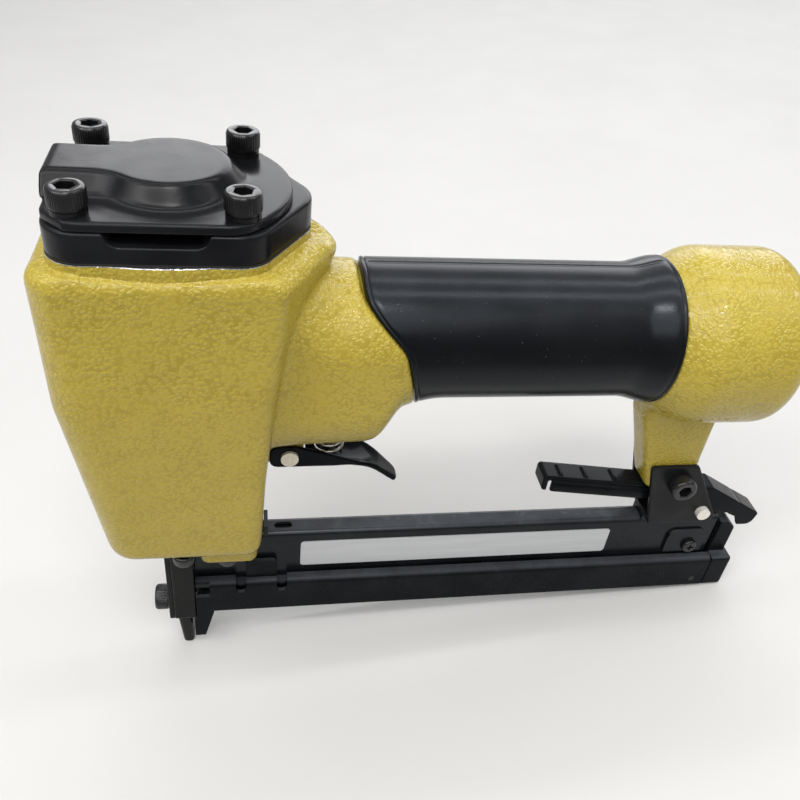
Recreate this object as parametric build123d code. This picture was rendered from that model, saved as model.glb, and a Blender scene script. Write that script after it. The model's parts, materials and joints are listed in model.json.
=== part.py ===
"""Fine-crown pneumatic stapler, as an assembly of separate pieces.

Frame: millimetres, +Z up along the drive axis, +X from the nose towards the handle's rear end,
Y = 0 is the plane of symmetry. The origin lies on the drive axis, level with the tip of the nose.
"""
from build123d import *
import math
import os

# Fits
slide_gap = 0.3  # between flat faces that slide
seat_gap = 0.05  # radial gap of a fixed round fit
run_gap = 0.05  # radial gap of a running round fit
screw_gap = 0.25  # radial room of a screw in its through hole
wire_gap = 0.05  # between a spring's end turn and its seat

# Standard screws
hex_sides = 6
m5_r = 2.5
m5_head_r = 4.25
m5_head_h = 5.0
m5_hex = 4.0
m4_r = 2.0
m4_head_r = 3.5
m4_head_h = 4.0
m4_hex = 3.0
m5_nut_across = 8.0
m5_nut_h = 4.0
hex_depth_share = 0.5  # socket depth as a share of the head's height
head_chamfer = 0.5
washer_r = 4.1
washer_thick = 1.2
washer_split = 1.0

# Heights, stacked up from the nose tip
nose_drop = 20.9  # nose tip to the underside of the magazine
channel_height = 14.7  # sliding magazine
rail_top_rise = 33.5  # underside of the magazine to the top of the fixed rail
boss_height = 9.8  # mounting boss under the head
gasket_thick = 0.6
plate_thick = 7.2
flange_thick = 2.4
dome_height = 7.6  # cap's underside to the top of its dome
handle_rise = 68.4  # underside of the head to the handle's axis
barrel_drop = 1.9  # rear barrel's axis below the handle's axis

# Length, and the end that the places at the rear count from
barrel_end = 177.0  # rear face of the barrel, behind the drive axis

# Cap screws and the plates that they hold
bolt_half = 18.7  # half the side of the square of cap screws
bolt_engaged = 11.0  # depth of the cap screws in the body
plate_front_margin = 7.0  # plate edge in front of the front screws
plate_side_margin = 5.8
plate_rear_margin = 3.6  # bend of the plate's outline behind the rear screws
plate_vee = 15.0  # how far the pointed rear end stands behind the bends
plate_corner = 9.0
plate_bend = 9.0
plate_tip = 11.0
flange_inset = 0.35  # cap flange inside the plate
slot_front = 11.3  # exhaust slot, in front of and behind the drive axis
slot_rear = 11.3
slot_depth = 3.2
slot_corner = 3.0
plate_edge = 0.7  # radius of the plate's top edge
flange_edge = 0.6  # radius of the flange's top edge
flange_bend = 9.0  # flange's corners between its straight sides and its round rear end

# Cap dome
dome_x = 1.5
dome_r = 18.5  # at the flange
dome_taper = 40.0  # degrees
tongue_half = 12.0  # half width of the tongue at the flange
tongue_root = 7.7  # radius where the tongue meets the dome
dome_edge = 1.75  # radius of the top edge
dome_foot = 0.4  # height of the step round the dome's foot
dome_foot_margin = 1.2
tongue_front = 26.2  # front end of the tongue, before the drive axis
valve_room = 0.75  # over the lifted head valve
spring_room_r = 9.4
cap_ceiling = 2.1  # metal left over the spring

# Cast head
overhang_front = 4.8  # widest line of the head outside the plate's outline
overhang_side = 2.55
overhang_rear = 6.3
break_front = 0.6  # bend of the head's walls inside their widest line
break_side = 0.5
break_rear = 3.4
break_vee = 7.0
break_rise = 57.8  # bend above the head's underside
head_vee_low = 0.55
head_wall_front = 1.8  # outside the air chamber, at the head's underside
head_wall_side = 4.2
head_wall_rear = 2.5
head_corner = 8.8
head_bend = 3.3
head_tip = 8.8
head_round = 5.5  # radius round the underside
bulge_drop = 6.3  # widest line below the rim
rim_height = 2.4  # upright rim
rim_margin = 1.45  # rim outside the plate
shoulder_steps = 5  # sections of the rounded shoulder between widest line and rim
floor_thick = 11.0
seat_depth = 4.4  # sleeve's seat below the chamber's floor
guide_screw_engaged = 6.0  # guide screws' depth in the head's floor
boss_front = 3.85
boss_rear = 21.5
boss_half = 15.4
boss_corner = 3.3

# Cylinder, piston and driver
bore_r = 14.3
sleeve_wall = 2.0
chamber_room = 3.5  # between the sleeve and the chamber's wall
sleeve_drop = 9.9  # top of the sleeve below the rim
collar_thick = 3.3
port_r = 1.65
port_count = 6
port_rise = 28.6
vent_r = 1.2
bumper_height = 11.0
bumper_gap = 0.4  # round the bumper
bumper_hole_r = 4.4
stroke = 54.0
piston_height = 13.2
piston_room = 4.9  # between the raised piston and the head valve
piston_groove_rise = 7.2
seal_r = 1.3  # piston seal's section
piston_bowl_r = 9.9
piston_bowl_depth = 3.3
blade_half = 2.6
blade_thick = 1.0
blade_room = 0.3
blade_grip = 8.8  # length of blade held in the piston
driver_pin_r = 1.1
driver_pin_half = 7.7
sleeve_seal_r = 0.8

# Head valve
valve_disc_r = 16.7
valve_disc_h = 6.2
valve_neck_r = 13.2
valve_top_drop = 1.2  # top of the valve below the cap's underside
valve_pocket_r = 8.8
valve_pocket_depth = 9.0
valve_lift = 3.85
valve_seal_r = 0.8
valve_spring_mean = 7.3
valve_spring_wire = 1.2
valve_spring_turns = 4

# Handle, grip, barrel and post
core_r = 17.0
handle_wall = 5.1
grip_thick = 2.8
grip_gap = 0.1
seam = 0.15  # joint line between grip and casting
grip_flare_r = 22.0
grip_flare_start_back = 47.5
grip_flare_end_back = 40.0
grip_edge_top_back = 38.2  # slanted rear end of the grip
grip_edge_low_back = 39.7
grip_edge_reach = 26.4
grip_front = 48.5  # front edge of the grip: upright, slanting, then steep
grip_bend_rise = 16.0
grip_mid = 60.9
grip_mid_rise = 3.6
grip_low = 68.4
grip_bend_round = 6.0
grip_mid_round = 7.0
grip_flare_round = 14.0
grip_flare_edge = 4.0
barrel_r = 27.0
barrel_start_back = 43.0
barrel_start_r = 19.0
barrel_shoulder_back = 29.5
barrel_round_front = 12.0
barrel_round_rear = 7.0
barrel_wall = 5.5
barrel_rear_wall = 9.9
post_half = 6.6
post_rear_back = 7.8
post_front_high_back = 33.7
post_front_low_back = 24.5
post_corner = 2.65
post_foot_rise = 18.0  # underside of the post above the fixed rail
post_slope_height = 28.8

# Neck, from the head to the grip
neck_under = 32.0  # underside above the head's underside
neck_root_x = 19.8
neck_root_half = 22.6
neck_root_drop = 4.4  # neck's top below the rim
neck_waist_x = 31.9
neck_waist_half = 19.6
neck_belly_x = 44.0
neck_belly_half = 20.6
neck_sink = 1.0  # neck's top below the grip's, where they meet
neck_chin_x = 53.0
neck_chin_lift = 1.6
neck_heel_x = 64.5
neck_end_x = 70.0
neck_steps = 14  # sections along the neck
neck_round = 0.93  # corner radius as a share of the half width

# Trigger, its lug and its valve
trigger_pin_x = 31.3
trigger_pin_drop = 6.3  # pin's axis below the neck's underside
trigger_pin_r = 2.65
trigger_pin_proud = 0.9
trigger_half = 6.4
trigger_sheet = 1.3
trigger_lug_rear = 35.6
trigger_lug_low = 3.1  # lug below the pin's axis
trigger_front = 6.0  # cheek in front of the pin
trigger_cheek_top = 3.9  # cheek above the pin
trigger_web_drop = 3.7  # underside of the web below the pin
trigger_web_thick = 1.75
trigger_web_front = 36.5
trigger_cheek_rear = 52.2
trigger_bend_x = 48.4
trigger_bend_r = 15.2
trigger_bend_angle = 46.0  # degrees
trigger_tip_run = 8.4
trigger_tip_half = 2.85
trigger_taper_x = 52.8
trigger_plan_round = 4.4
trigger_tip_round = 2.2
trigger_cheek_round = 2.4
valve_x = 43.6
plug_r = 6.1
plug_height = 22.0
plug_seal_r = 0.65
plug_seal_rises = (4.4, 16.5)
stem_r = 1.65
stem_trigger_gap = 0.45
stem_collar_r = 3.2
stem_collar_h = 1.75
stem_top = 3.3  # stem above its collar
valve_cell_r = 3.65
valve_cell_rise = 8.1
retainer_thick = 2.2
retainer_hole_r = 1.1
stem_spring_mean = 2.55
stem_spring_wire = 0.55
stem_spring_turns = 5
trigger_spring_mean = 4.3
trigger_spring_wire = 0.75
trigger_spring_turns = 3

# Air inlet, quarter-inch pipe thread
inlet_thread_r = 5.72
inlet_thread_length = 14.0
inlet_bore_r = 4.2
inlet_body_r = 12.6
inlet_body_length = 13.2
inlet_hex = 30.0
inlet_hex_thick = 5.5
inlet_ring_r = 14.5
inlet_ring_thick = 1.1

# Nose
guide_front = 6.4
guide_half = 8.0
guide_low = 2.75  # guide's underside below the magazine's underside
guide_block_rear = 3.65
guide_block_half = 13.8
guide_screw_y = 10.2
guide_screw_x = -1.45
guide_corner = 2.75
prong_half = 5.3
prong_tip_half = 3.95
prong_thick = 5.3
prong_tip_thick = 3.7
prong_set_back = 0.1  # prong's rear face before the driver's groove
prong_round = 1.2
cover_thick = 1.85
cover_half = 6.8
cover_low = 4.8
cover_top_rise = 29.7
cover_corner = 1.65
nose_bolt_rise = 0.0  # above the magazine's underside
dowel_rise = 21.0
dowel_r = 1.5
head_relief = 0.4  # room round the guide screws' heads

# Fixed rail
rail_half = 3.85
rail_wall = 1.0
rail_front = 1.0
rail_rear_past = 10.6
rail_edge = 1.8
foot_half = 6.3
foot_thick = 1.65
ear_half = 12.1
ear_thick = 2.0
ear_front = 4.1
ear_rear = 19.8
rail_screw_x = 12.1
rail_screw_y = 8.8
rail_screw_engaged = 7.7
lug_x = 23.8
lug_thick = 1.3
lug_height = 3.5
oblong_x = 30.2
oblong_length = 5.9
oblong_r = 1.3
label_front = 36.0
label_rear_back = 30.5
label_low = 17.8
label_high = 29.3
label_thick = 0.3
label_corner = 1.3
stop_front_back = 7.0
stop_rear_past = 8.0
stop_low = 16.5
stop_high = 27.2
stop_thick = 1.1
stop_corner = 3.3
stop_edge = 0.6
stop_screw_past = 2.5
stop_screw_rise = 19.8
stop_screw_r = 1.65
stop_screw_head_r = 2.85
stop_screw_head_h = 1.55

# Sliding magazine
channel_half = 8.0
channel_wall = 1.3
channel_round = 2.2
channel_edge = 0.9
channel_front = 1.0
channel_rear_past = 12.5
lip_gap = 0.6
notch_length = 4.7
notch_low = 8.2
cutout_half = 1.75
cutout_low = 9.6
cutout_xs = (16.1, 29.8)
guide_ear_top = 22.6
guide_ear_thick = 1.3
guide_ear_corner = 1.65
nose_wedge_length = 5.8
nose_wedge_tip = 2.55
nose_wedge_drop = 12.3
nose_wedge_lead = 0.9  # cheeks of the wedge beside the driver, before the channel
cap_rear_past = 21.0
cap_corner = 0.9
cap_seam = 0.4  # joint line between the channel and its end cap
tab_front_past = 12.9
tab_rear_past = 19.2
tab_half = 3.95
tab_top = 27.8
spigot_front_past = 3.4
spigot_high = 6.6
rivet_past = 7.8
rivet_r = 1.1
rivet_length = 3.3

# Core rail, pusher and their spring
core_half = 1.75
core_low = 8.1
core_top_drop = 2.25  # core's top below the fixed rail's top
core_foot_length = 4.4
pusher_front = 6.6
pusher_length = 15.4
pusher_gap = 0.25
rod_rise = 4.6
rod_r = 1.1
pusher_spring_mean = 2.1
pusher_spring_wire = 0.65
pusher_spring_turns = 34

# Latch
cheek_gap = 0.1
cheek_thick = 1.65
bracket_top_front_back = 26.3
bracket_top_rear_back = 9.1
bracket_low_front_back = 19.8
bracket_low_rear_past = 6.5
bracket_top_rise = 28.8  # above the fixed rail's top
bracket_corner = 1.3
saddle_height = 2.05
saddle_rear_back = 7.6
bracket_bolt_back = 14.5
bracket_bolt_rise = 22.2
latch_pin_back = 1.1
latch_pin_rise = 7.4
latch_pin_r = 2.4
latch_pin_proud = 1.85
lever_half = 4.0
lever_sheet = 1.1
lever_tip_back = 61.2
lever_tip_rise = 22.4  # heights of the lever's top line above the fixed rail
lever_knee_back = 12.0
lever_knee_rise = 15.3
hook_start_past = 3.4
hook_start_rise = 14.3
hook_tip_past = 26.3
hook_tip_rise = 0.6
hook_chin_past = 24.9
hook_gap = 0.6  # hook's nose above the catch tab
hook_throat_past = 13.3
hook_throat_rise = 2.8
hook_inner_past = 17.2
hook_inner_drop = 0.5
hook_neck_past = 8.0  # end of the flange behind the pin
pin_flange_front = 3.0  # flange in front of the pin
lever_round = 1.2
lever_bend = 5.0
hook_chin_round = 3.2  # under the hook's nose
hook_slot_gap = 0.5  # between the hook's nose and the core rail that slides under it
lever_flange = 6.2  # depth of the arm's flanges
lever_pin_drop = 3.65  # flange below the pin
lip_notch_back = 59.3
lip_notch_width = 1.3
rib_backs = (54.9, 45.6, 34.9)
rib_length = 5.1
rib_r = 0.65
rib_sink = 0.2  # rib's axis below the lever's top
latch_spring_back = 14.8
latch_spring_mean = 1.75
latch_spring_wire = 0.55
latch_spring_turns = 5

# Places at the rear: back from the barrel's end, or past it
grip_flare_start = barrel_end - grip_flare_start_back
grip_flare_end = barrel_end - grip_flare_end_back
grip_edge_top = barrel_end - grip_edge_top_back
grip_edge_low = barrel_end - grip_edge_low_back
barrel_start = barrel_end - barrel_start_back
barrel_shoulder = barrel_end - barrel_shoulder_back
post_rear = barrel_end - post_rear_back
post_front_high = barrel_end - post_front_high_back
post_front_low = barrel_end - post_front_low_back
rail_rear = barrel_end + rail_rear_past
label_rear = barrel_end - label_rear_back
stop_front = barrel_end - stop_front_back
stop_rear = barrel_end + stop_rear_past
stop_screw_x = barrel_end + stop_screw_past
channel_rear = barrel_end + channel_rear_past
cap_rear = barrel_end + cap_rear_past
tab_front = barrel_end + tab_front_past
tab_rear = barrel_end + tab_rear_past
spigot_front = barrel_end + spigot_front_past
rivet_x = barrel_end + rivet_past
bracket_top_front = barrel_end - bracket_top_front_back
bracket_top_rear = barrel_end - bracket_top_rear_back
bracket_low_front = barrel_end - bracket_low_front_back
bracket_low_rear = barrel_end + bracket_low_rear_past
saddle_rear = barrel_end - saddle_rear_back
bracket_bolt_x = barrel_end - bracket_bolt_back
latch_pin_x = barrel_end - latch_pin_back
lever_tip_x = barrel_end - lever_tip_back
lever_knee_x = barrel_end - lever_knee_back
hook_start_x = barrel_end + hook_start_past
hook_tip_x = barrel_end + hook_tip_past
hook_chin_x = barrel_end + hook_chin_past
hook_throat_x = barrel_end + hook_throat_past
hook_inner_x = barrel_end + hook_inner_past
hook_neck_x = barrel_end + hook_neck_past
lip_notch_x = barrel_end - lip_notch_back
latch_spring_x = barrel_end - latch_spring_back
rib_xs = [barrel_end - back for back in rib_backs]

# Levels that follow from the stack
z_mag = nose_drop
z_channel_top = z_mag + channel_height
z_rail = z_mag + rail_top_rise
z_body = z_rail + boss_height
z_chamber = z_body + floor_thick
z_seat = z_chamber - seat_depth
z_bumper = z_seat + bumper_height
z_piston = z_bumper + slide_gap + stroke
z_sleeve = z_piston + piston_height + piston_room
z_rim = z_sleeve + sleeve_drop
z_bulge = z_rim - bulge_drop
z_plate = z_rim + gasket_thick
z_cap = z_plate + plate_thick
z_flange = z_cap + flange_thick
z_dome = z_cap + dome_height
z_handle = z_body + handle_rise
z_barrel = z_handle - barrel_drop
z_blade = z_rail + blade_room
z_neck = z_body + neck_under
z_pin = z_neck - trigger_pin_drop
sleeve_r = bore_r + sleeve_wall
chamber_r = sleeve_r + chamber_room
plate_front = bolt_half + plate_front_margin
plate_side = bolt_half + plate_side_margin
plate_rear = bolt_half + plate_rear_margin
grip_r = core_r + grip_gap + grip_thick
air_r = core_r - handle_wall


def block(x0, x1, y0, y1, z0, z1):
    """Box between two corners."""
    middle = Pos((x0 + x1) / 2, (y0 + y1) / 2, (z0 + z1) / 2)
    return middle * Box(x1 - x0, y1 - y0, z1 - z0)


def rod_x(x0, x1, y, z, radius):
    """Round bar along X."""
    return Plane(origin=(x0, y, z), z_dir=(1, 0, 0)) * extrude(Circle(radius), x1 - x0)


def rod_y(y0, y1, x, z, radius):
    """Round bar along Y."""
    return Plane(origin=(x, y0, z), z_dir=(0, 1, 0)) * extrude(Circle(radius), y1 - y0)


def rod_z(z0, z1, x, y, radius):
    """Round bar along Z."""
    return Pos(x, y, z0) * extrude(Circle(radius), z1 - z0)


def ring_z(z0, z1, x, y, outer, inner):
    """Round tube along Z."""
    return rod_z(z0, z1, x, y, outer) - rod_z(z0, z1, x, y, inner)


def seal_z(z, x, y, outer, section):
    """Round-section sealing ring about a line along Z."""
    return Pos(x, y, z) * Torus(outer - section, section)


def corners(low_1, high_1, low_2, high_2):
    """Four corners of an upright rectangle in a plane."""
    return [(low_1, low_2), (high_1, low_2), (high_1, high_2), (low_1, high_2)]


def outline(points, radii):
    """Closed flat face with rounded corners."""
    return make_face(FilletPolyline(*points, radius=radii, close=True))


def side_prism(points, radii, y0, y1):
    """Outline in X and Z, given thickness across Y."""
    face = Plane(origin=(0, y1, 0), x_dir=(1, 0, 0), z_dir=(0, -1, 0)) * outline(points, radii)
    return extrude(face, y1 - y0)


def rail_prism(points, radii, x0, x1):
    """Section in Y and Z, given length along X."""
    face = Plane(origin=(x0, 0, 0), x_dir=(0, 1, 0), z_dir=(1, 0, 0)) * outline(points, radii)
    return extrude(face, x1 - x0)


def revolve_x(points, radii, z):
    """Outline of X and radius, turned about a line along X at height z."""
    face = Plane.XZ * outline(points, radii)
    return Pos(0, 0, z) * revolve(face, Axis.X)


def socket_screw(radius, head_r, head_h, across, length):
    """Socket head screw standing on its seat at the origin, shank down."""
    head = extrude(Circle(head_r), head_h)
    head = chamfer(head.edges().filter_by(GeomType.CIRCLE).sort_by(Axis.Z)[-1], head_chamfer)
    depth = head_h * hex_depth_share
    key = RegularPolygon(across / 2, hex_sides, major_radius=False)
    socket = Pos(0, 0, head_h - depth) * extrude(key, depth)
    return head - socket + Pos(0, 0, -length) * extrude(Circle(radius), length)


def biarc(start, heading, end, end_heading):
    """Two tangent arcs from one point and heading to another."""
    chord = end - start
    total = heading + end_heading
    spread = 2 * (1 - heading.dot(end_heading))
    along = chord.dot(total)
    reach = (math.sqrt(along**2 + spread * chord.dot(chord)) - along) / spread
    joint = (start + end + (heading - end_heading) * reach) / 2
    middle = (end - end_heading * reach) - (start + heading * reach)
    return [
        Edge.make_tangent_arc(start, heading, joint),
        Edge.make_tangent_arc(joint, middle.normalized(), end),
    ]


def coil(name, mean, wire, length, turns):
    """Open spring along local Z from 0 to length, as one swept wire in half turns."""
    low = wire / 2 + wire_gap
    pitch = (length - 2 * low) / turns
    slope = pitch / (2 * math.pi)

    def place(turn):
        angle = 2 * math.pi * turn
        return Vector(mean * math.cos(angle), mean * math.sin(angle), low + pitch * turn)

    def heading(turn):
        angle = 2 * math.pi * turn
        return Vector(-mean * math.sin(angle), mean * math.cos(angle), slope).normalized()

    edges = []
    for half in range(2 * turns):
        first = half / 2
        last = first + 1 / 2
        edges += biarc(place(first), heading(first), place(last), heading(last))
    path = Wire(edges)
    section = Plane(origin=place(0), z_dir=heading(0)) * Circle(wire / 2)
    points = [edge @ share for edge in edges for share in (0.0, 0.5)]
    per_turn = len(points) // turns
    gaps = [
        (points[i] - points[j]).length - wire
        for i in range(len(points))
        for j in range(i + per_turn // 2, min(len(points), i + 2 * per_turn))
    ]
    print(f"{name}: least gap between turns {min(gaps):.2f} mm")
    return sweep(section, path=path)


def pentagon(front, side, rear, vee, radii):
    """Plan outline with square front corners and a pointed rear end."""
    corner, bend, tip = radii
    points = [(-front, -side), (rear, -side), (rear + vee, 0), (rear, side), (-front, side)]
    return outline(points, [corner, bend, tip, bend, corner])


def plate_outline(margin=0.0):
    """Outline shared by the gasket, the exhaust plate and the head's rim."""
    radii = (plate_corner + margin, plate_bend + margin, plate_tip + margin)
    return pentagon(plate_front + margin, plate_side + margin, plate_rear + margin, plate_vee, radii)


def bolt_places():
    """Centres of the cap screws."""
    return [(x, y) for x in (-bolt_half, bolt_half) for y in (-bolt_half, bolt_half)]


def cap_bolt_holes(radius, z0, z1):
    """Holes for the cap screws through one layer."""
    return [rod_z(z0, z1, x, y, radius) for x, y in bolt_places()]


def head_block():
    """Cast head: walls with a bend, widest below the rim, then drawn in to the rim."""
    low = (chamber_r + head_wall_front, chamber_r + head_wall_side, chamber_r + head_wall_rear)
    high = (plate_front + overhang_front, plate_side + overhang_side, plate_rear + overhang_rear)
    bend = (high[0] - break_front, high[1] - break_side, high[2] - break_rear)
    share = neck_under / break_rise
    waist = [a + (b - a) * share for a, b in zip(low, bend)]
    radii = (head_corner, head_bend, head_tip)
    foot_face = Pos(0, 0, z_body) * pentagon(*low, head_vee_low, radii)
    waist_face = Pos(0, 0, z_neck) * pentagon(*waist, head_vee_low, radii)
    bend_face = Pos(0, 0, z_body + break_rise) * pentagon(*bend, break_vee, radii)
    bulge_face = Pos(0, 0, z_bulge) * pentagon(*high, plate_vee, radii)
    ledge = (plate_front + rim_margin, plate_side + rim_margin, plate_rear + rim_margin)
    ledge_z = z_rim - rim_height
    shoulder_faces = [bulge_face]
    for step in range(1, shoulder_steps + 1):
        turn = math.pi / 2 * step / shoulder_steps
        sizes = [a + (b - a) * math.cos(turn) for a, b in zip(ledge, high)]
        z = z_bulge + (ledge_z - z_bulge) * math.sin(turn)
        shoulder_faces.append(Pos(0, 0, z) * pentagon(*sizes, plate_vee, radii))
    lower = loft([foot_face, waist_face], ruled=True)
    lower = fillet(lower.faces().sort_by(Axis.Z)[0].edges(), head_round)
    middle = loft([waist_face, bend_face], ruled=True)
    upper = loft([bend_face, bulge_face], ruled=True)
    shoulder = loft(shoulder_faces, ruled=True)
    rim = Pos(0, 0, ledge_z) * extrude(plate_outline(rim_margin), rim_height)
    return lower + middle + upper + shoulder + rim


def neck_section(x, low, high, half):
    """Rounded upright section of the neck."""
    plane = Plane(origin=(x, 0, (low + high) / 2), x_dir=(0, 1, 0), z_dir=(1, 0, 0))
    return plane * RectangleRounded(2 * half, high - low, half * neck_round)


def eased(x, stations):
    """Value at x between stations, levelled out at each of them."""
    for (x0, v0), (x1, v1) in zip(stations, stations[1:]):
        if x <= x1:
            t = max(0.0, (x - x0) / (x1 - x0))
            return v0 + (v1 - v0) * t * t * (3 - 2 * t)
    return stations[-1][1]


def neck_block():
    """Neck that carries the trigger and narrows to the handle."""
    root_top = z_rim - neck_root_drop
    lows = [(neck_root_x, z_neck), (neck_chin_x, z_neck + neck_chin_lift), (neck_heel_x, z_handle - grip_r)]
    highs = [(neck_root_x, root_top), (neck_belly_x, z_handle + grip_r - neck_sink)]
    halves = [
        (neck_root_x, neck_root_half),
        (neck_waist_x, neck_waist_half),
        (neck_belly_x, neck_belly_half),
        (neck_heel_x, grip_r),
    ]
    sections = []
    for step in range(neck_steps):
        x = neck_root_x + (neck_end_x - neck_root_x) * step / (neck_steps - 1)
        sections.append(neck_section(x, eased(x, lows), eased(x, highs), eased(x, halves)))
    return loft(sections)


def grip_window(shift):
    """Side outline of the grip: curved front edge, slanted rear edge."""
    points = [
        (grip_front - shift, grip_edge_reach),
        (grip_front - shift, grip_bend_rise),
        (grip_mid - shift, grip_mid_rise),
        (grip_low - shift, -grip_edge_reach),
        (grip_edge_low + shift, -grip_edge_reach),
        (grip_edge_top + shift, grip_edge_reach),
    ]
    radii = [0, grip_bend_round, grip_mid_round, 0, 0, 0]
    return Pos(0, 0, z_handle) * side_prism(points, radii, -2 * grip_r, 2 * grip_r)


def grip_sleeve():
    """Rubber sleeve on the handle, flared at its rear end."""
    inner = core_r + grip_gap
    end = grip_edge_top + grip_edge_reach
    points = [
        (neck_waist_x, inner),
        (end, inner),
        (end, grip_flare_r),
        (grip_flare_end, grip_flare_r),
        (grip_flare_start, grip_r),
        (neck_waist_x, grip_r),
    ]
    tube = revolve_x(points, [0, 0, 0, grip_flare_edge, grip_flare_round, 0], z_handle)
    return tube & grip_window(0)


def rear_post():
    """Post under the barrel that carries the magazine's rear end."""
    foot = z_rail + post_foot_rise
    knee = foot + post_slope_height

    def section(front, z):
        middle = Pos((front + post_rear) / 2, 0, z)
        return middle * RectangleRounded(post_rear - front, 2 * post_half, post_corner)

    slope = loft([section(post_front_low, foot), section(post_front_high, knee)], ruled=True)
    root = extrude(section(post_front_high, knee), z_barrel - knee)
    return slope + root


def rear_barrel():
    """Round air barrel behind the grip."""
    points = [
        (barrel_start, 0),
        (barrel_end, 0),
        (barrel_end, barrel_r),
        (barrel_shoulder, barrel_r),
        (barrel_start, barrel_start_r),
    ]
    return revolve_x(points, [0, 0, barrel_round_rear, barrel_round_front, 0], z_barrel)


def body_housing():
    """One casting: head, neck, handle core, barrel, post, boss and trigger lug."""
    neck_and_barrel = neck_block() + rear_barrel() - (grip_window(seam) - handle_core())
    boss = block(boss_front, boss_rear, -boss_half, boss_half, z_rail, z_body + head_round)
    boss = fillet(boss.edges().filter_by(Axis.Z), boss_corner)
    lug_y = trigger_half - trigger_sheet - slide_gap
    lug = block(neck_root_x, trigger_lug_rear, -lug_y, lug_y, z_pin - trigger_lug_low, z_neck + head_round)
    shape = head_block() + neck_and_barrel + handle_core() + rear_post() + boss + lug
    cuts = [
        rod_z(z_chamber, z_rim, 0, 0, chamber_r),
        rod_z(z_seat, z_chamber, 0, 0, sleeve_r + seat_gap),
        ring_z(*sleeve_groove(), 0, 0, sleeve_r + 2 * sleeve_seal_r + 2 * seat_gap, sleeve_r),
        blade_slot(z_body, z_seat),
        rod_x(chamber_r - chamber_room, barrel_end - barrel_rear_wall, 0, z_handle, air_r),
        rod_x(barrel_shoulder, barrel_end - barrel_rear_wall, 0, z_barrel, barrel_r - barrel_wall),
        rod_x(barrel_shoulder, barrel_end, 0, z_barrel, inlet_body_r + seat_gap),
        rod_z(z_neck - boss_height, z_handle, valve_x, 0, plug_r + seat_gap),
        rod_y(-trigger_half, trigger_half, trigger_pin_x, z_pin, trigger_pin_r + seat_gap),
        rod_y(-2 * post_half, 2 * post_half, bracket_bolt_x, z_rail + bracket_bolt_rise, m5_r + screw_gap),
    ]
    cuts += cap_bolt_holes(m5_r + seat_gap, z_rim - bolt_engaged, z_rim)
    for side in (-1, 1):
        y = side * guide_screw_y
        cuts.append(rod_z(z_body, z_body + guide_screw_engaged, guide_screw_x, y, m4_r + seat_gap))
        y = side * rail_screw_y
        cuts.append(rod_z(z_rail, z_rail + rail_screw_engaged, rail_screw_x, y, m4_r + seat_gap))
    return shape - cuts


def handle_core():
    """Solid core of the handle inside the grip."""
    return rod_x(neck_waist_x, barrel_shoulder, 0, z_handle, core_r)


def sleeve_groove():
    """Heights of the seal groove round the sleeve's seat."""
    middle = (z_seat + z_chamber) / 2
    half = sleeve_seal_r + seat_gap
    return middle - half, middle + half


def blade_slot(z0, z1):
    """Slot that lets the driver blade through one layer."""
    x = blade_thick / 2 + blade_room
    y = blade_half + blade_room
    return block(-x, x, -y, y, z0, z1)


def cap_gasket():
    """Thin gasket between head and exhaust plate."""
    sheet = Pos(0, 0, z_rim) * extrude(plate_outline(), gasket_thick)
    opening = rod_z(z_rim, z_plate, 0, 0, chamber_r)
    return sheet - [opening] - cap_bolt_holes(m5_r + screw_gap, z_rim, z_plate)


def exhaust_plate():
    """Plate under the cap that guides the head valve and lets the air out at its side."""
    plate = Pos(0, 0, z_plate) * extrude(plate_outline(), plate_thick)
    plate = fillet(plate.faces().sort_by(Axis.Z)[-1].edges(), plate_edge)
    low = z_cap - slot_depth
    points = corners(-slot_front, slot_rear, low, z_cap)
    slot = side_prism(points, [slot_corner, slot_corner, 0, 0], -plate_side, 0)
    bore = rod_z(z_plate, z_cap, 0, 0, valve_neck_r + run_gap)
    return plate - [slot, bore] - cap_bolt_holes(m5_r + screw_gap, z_plate, z_cap)


def cylinder_cap():
    """Cap with a flat flange and a low dome whose tongue runs to the front."""
    front = plate_front - flange_inset
    side = plate_side - flange_inset
    rear_r = math.hypot(bolt_half, bolt_half) + m5_head_r
    points = corners(-front, rear_r, -side, side)
    corner = plate_corner - flange_inset
    sheet = outline(points, [corner, 0, 0, corner]) & Circle(rear_r)
    bends = [v for v in sheet.vertices() if v.X > 0 and abs(v.Y) > side - seat_gap]
    sheet = fillet(bends, flange_bend)
    flange = Pos(0, 0, z_cap) * extrude(sheet, flange_thick)
    flange = fillet(flange.faces().sort_by(Axis.Z)[-1].edges(), flange_edge)
    plan = Pos(dome_x, 0) * Circle(dome_r)
    plan += Pos(dome_x - tongue_front, 0) * Rectangle(2 * tongue_front, 2 * tongue_half)
    roots = [v for v in plan.vertices() if abs(abs(v.Y) - tongue_half) < seat_gap and v.X > -tongue_front]
    plan = fillet(roots, tongue_root)
    foot = Pos(0, 0, z_flange) * extrude(offset(plan, dome_foot_margin), dome_foot)
    foot &= block(-front + flange_edge, rear_r, -side, side, z_flange, z_dome)
    dome = Pos(0, 0, z_flange) * extrude(plan, z_dome - z_flange, taper=dome_taper)
    dome &= block(-tongue_front, rear_r, -side, side, z_flange, z_dome)
    rounded = dome.faces().sort_by(Axis.Z)[-1].edges()
    dome = fillet(rounded, dome_edge)
    room = rod_z(z_cap, z_cap + valve_lift - valve_top_drop + valve_room, 0, 0, valve_neck_r + slide_gap)
    pocket = rod_z(z_cap, z_dome - cap_ceiling, 0, 0, spring_room_r)
    return flange + foot + dome - [room, pocket] - cap_bolt_holes(m5_r + screw_gap, z_cap, z_flange)


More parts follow.
